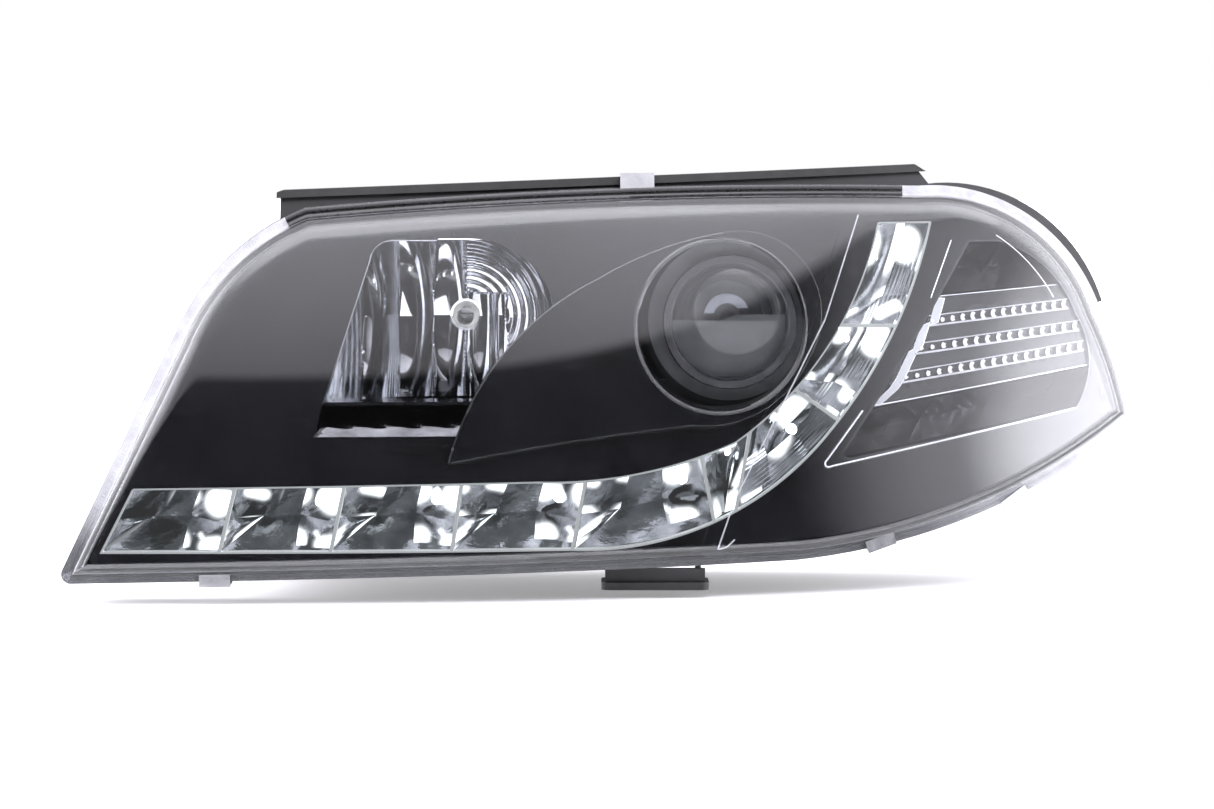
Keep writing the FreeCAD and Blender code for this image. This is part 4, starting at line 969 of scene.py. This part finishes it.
def crescent(x, z, size, thickness, depth):
    """Small C that opens outboard, standing on a ledge of the light bars."""
    arc = [math.radians(a) for a in range(100, 261, 20)]
    outer = [(x + size * 0.8 * math.cos(a), z + size * math.sin(a)) for a in arc]
    inner = [(x + thickness + (size * 0.8 - thickness * 0.4) * math.cos(a),
              z + (size - thickness * 0.6) * math.sin(a))
             for a in reversed(arc)]
    return plate(np.array(outer + inner), (), depth, depth + 2.0, spacing=20.0)


def make_light_bars():
    """Clear block behind the cover, with three ledges, rows of lamp marks and a stepped bright end."""
    top = path(*BAR_TOP, step=3.0)
    foot = path(*BAR_FOOT, step=3.0)
    ends = np.array(BAR_ENDS)
    loop = np.vstack([top, path((546, 128), step=3.0), foot[::-1], ends[::-1][1:-1]])
    block = plate(outline_resampled(blunted(loop, 0.6), 1.5), (), 20.6, 23.0, spacing=4.0)
    piece("light_bar_plate", block, BAR_CLEAR, slot="light_bar_clear",
          replaces=("indicator_light_bars",), bevel=0.4)
    inner = ends + np.array([5.0, -0.4])
    stepped = np.vstack([ends, inner[::-1]])
    piece("light_bar_end", plate(stepped, (), 19.4, 21.0, spacing=20.0), CHROME, slot="chrome_reflector",
          bevel=0.3)
    ledges, marks = [], []
    for (x0, z0), (x1, z1), count in BAR_ROWS:
        rise = (z1 - z0) / (x1 - x0)
        ledge = outline((x0, z0 - 2.9), (x1, z1 - 2.9), (x1, z1 - 1.9), (x0, z0 - 1.9))
        lip = outline((x0 - 1, z0 + 2.4), (x1, z1 + 2.4), (x1, z1 + 3.0), (x0 - 1, z0 + 3.0))
        ledges += [plate(ledge, (), 18.8, 20.6, spacing=20.0), plate(lip, (), 19.6, 20.6, spacing=20.0)]
        for i in range(count):
            share = i / (count - 1)
            x = x0 + 3 + (x1 - x0 - 5) * share
            size = 1.1 + 1.3 * min(1.0, share * 3)
            marks.append(crescent(x, z0 + rise * (x - x0), size, 1.5, 18.9))
    piece("light_bar_ledges", joined(*ledges), RIM_FROST, slot="light_bar_clear")
    piece("light_bar_marks", joined(*marks), MARK_WHITE, slot="light_bar_clear", bevel=0.2)
    edge_top = path((459, 143.8), (538, 149.2), step=3.0)
    edge_foot = path((423.5, 87.0), (551, 105.8), step=3.0)
    ribbon("light_bar_top_edge", edge_top, 20.4, 0.7, 0.6, RIM_CHROME, "chrome_reflector")
    ribbon("light_bar_foot_edge", edge_foot, 20.4, 1.0, 0.7, RIM_CHROME, "chrome_reflector")


# ---- studio --------
def make_world():
    """White to the camera. To everything else, a studio with a soft ceiling and bright side panels."""
    world = bpy.data.worlds.new("studio")
    bpy.context.scene.world = world
    graph = Graph(world)
    add, maths = graph.add, graph.maths

    def step(value, low, high, bottom=0.0, top=1.0):
        return add("MapRange", {"Value": value, "From Min": low, "From Max": high, "To Min": bottom,
                                "To Max": top}, interpolation_type="SMOOTHSTEP").outputs[0]

    direction = add("SeparateXYZ", {0: add("TexCoord").outputs["Generated"]}).outputs
    x, y, z = direction[0], direction[1], direction[2]
    haze = maths("MULTIPLY", step(z, 0.622, 0.645), step(z, 0.6, 0.95, 0.68, 1.7))
    haze = maths("MULTIPLY", haze, step(x, 0.2, 0.75, 1.0, 1.9))
    ceiling = maths("ADD", haze, maths("MULTIPLY", step(z, 0.85, 0.95), 2.4))
    slanted = maths("ADD", x, maths("MULTIPLY", z, 0.25))
    side = maths("ADD", step(slanted, 0.83, 1.0, 0.0, 1.25), step(slanted, 0.985, 1.04, 0.0, 5.2))
    off_centre = step(maths("ABSOLUTE", x, 0.0), 0.2, 0.7, 0.9, 3.2)
    back = maths("MULTIPLY", step(y, -0.1, 0.4), off_centre)
    left = step(maths("MULTIPLY", x, -1.0), 0.4, 0.85, 0.0, 4.0)
    total = maths("ADD", maths("ADD", ceiling, side), maths("ADD", back, maths("ADD", left, 0.03)))
    light = add("Background", {"Color": (0.985, 0.97, 1.04, 1), "Strength": total})
    white = add("Background", {"Color": (1, 1, 1, 1), "Strength": 1.0})
    ray = add("LightPath")
    mix = add("MixShader", {0: ray.outputs["Is Camera Ray"], 1: light.outputs[0], 2: white.outputs[0]})
    add("OutputWorld", {0: mix.outputs[0]})


def make_floor():
    """Plain pale floor a little below the lamp."""
    n = Nodes("floor_pale")
    shader = n.principled(Base_Color=n.ramp(n.noise(3.0), (0.93, 0.93, 0.93), (0.96, 0.96, 0.96)),
                          Roughness=0.9, Emission_Color=(1, 1, 1, 1), Emission_Strength=0.25)
    n.finish(shader)
    mesh = bpy.data.meshes.new("floor")
    reach, z = 12.0, CAD_BOUNDS[0].z - 0.004
    mesh.from_pydata([(-reach, -reach, z), (reach, -reach, z), (reach, reach, z), (-reach, reach, z)], [],
                     [(0, 1, 2, 3)])
    mesh.materials.append(n.material)
    floor = bpy.data.objects.new("floor", mesh)
    bpy.context.scene.collection.objects.link(floor)


def make_camera():
    """Square on to the car's front, three degrees above the lamp, three metres away."""
    data = bpy.data.cameras.new("camera")
    camera = bpy.data.objects.new("camera", data)
    bpy.context.scene.collection.objects.link(camera)
    target, distance, lift, frame_width = place(285.0, 60.0, 91.5), 3.0, math.radians(3.0), 0.6295
    data.sensor_width = 36.0
    data.lens = data.sensor_width * distance / frame_width
    camera.location = target + Vector((0.0, -math.cos(lift), math.sin(lift))) * distance
    camera.rotation_mode = "QUATERNION"
    camera.rotation_quaternion = (target - camera.location).to_track_quat("-Z", "Y")
    bpy.context.scene.camera = camera


# ---- put it together --------
paint_cad()
make_cover()
make_cover_flange()
make_seal_lip()
make_mould_line()
make_trim()
make_shroud()
make_strip()
make_strip_lamps()
make_high_reflector()
make_indicator_reflector()
make_light_bars()
make_world()
make_floor()
make_camera()
bpy.context.scene.view_settings.view_transform = "Standard"
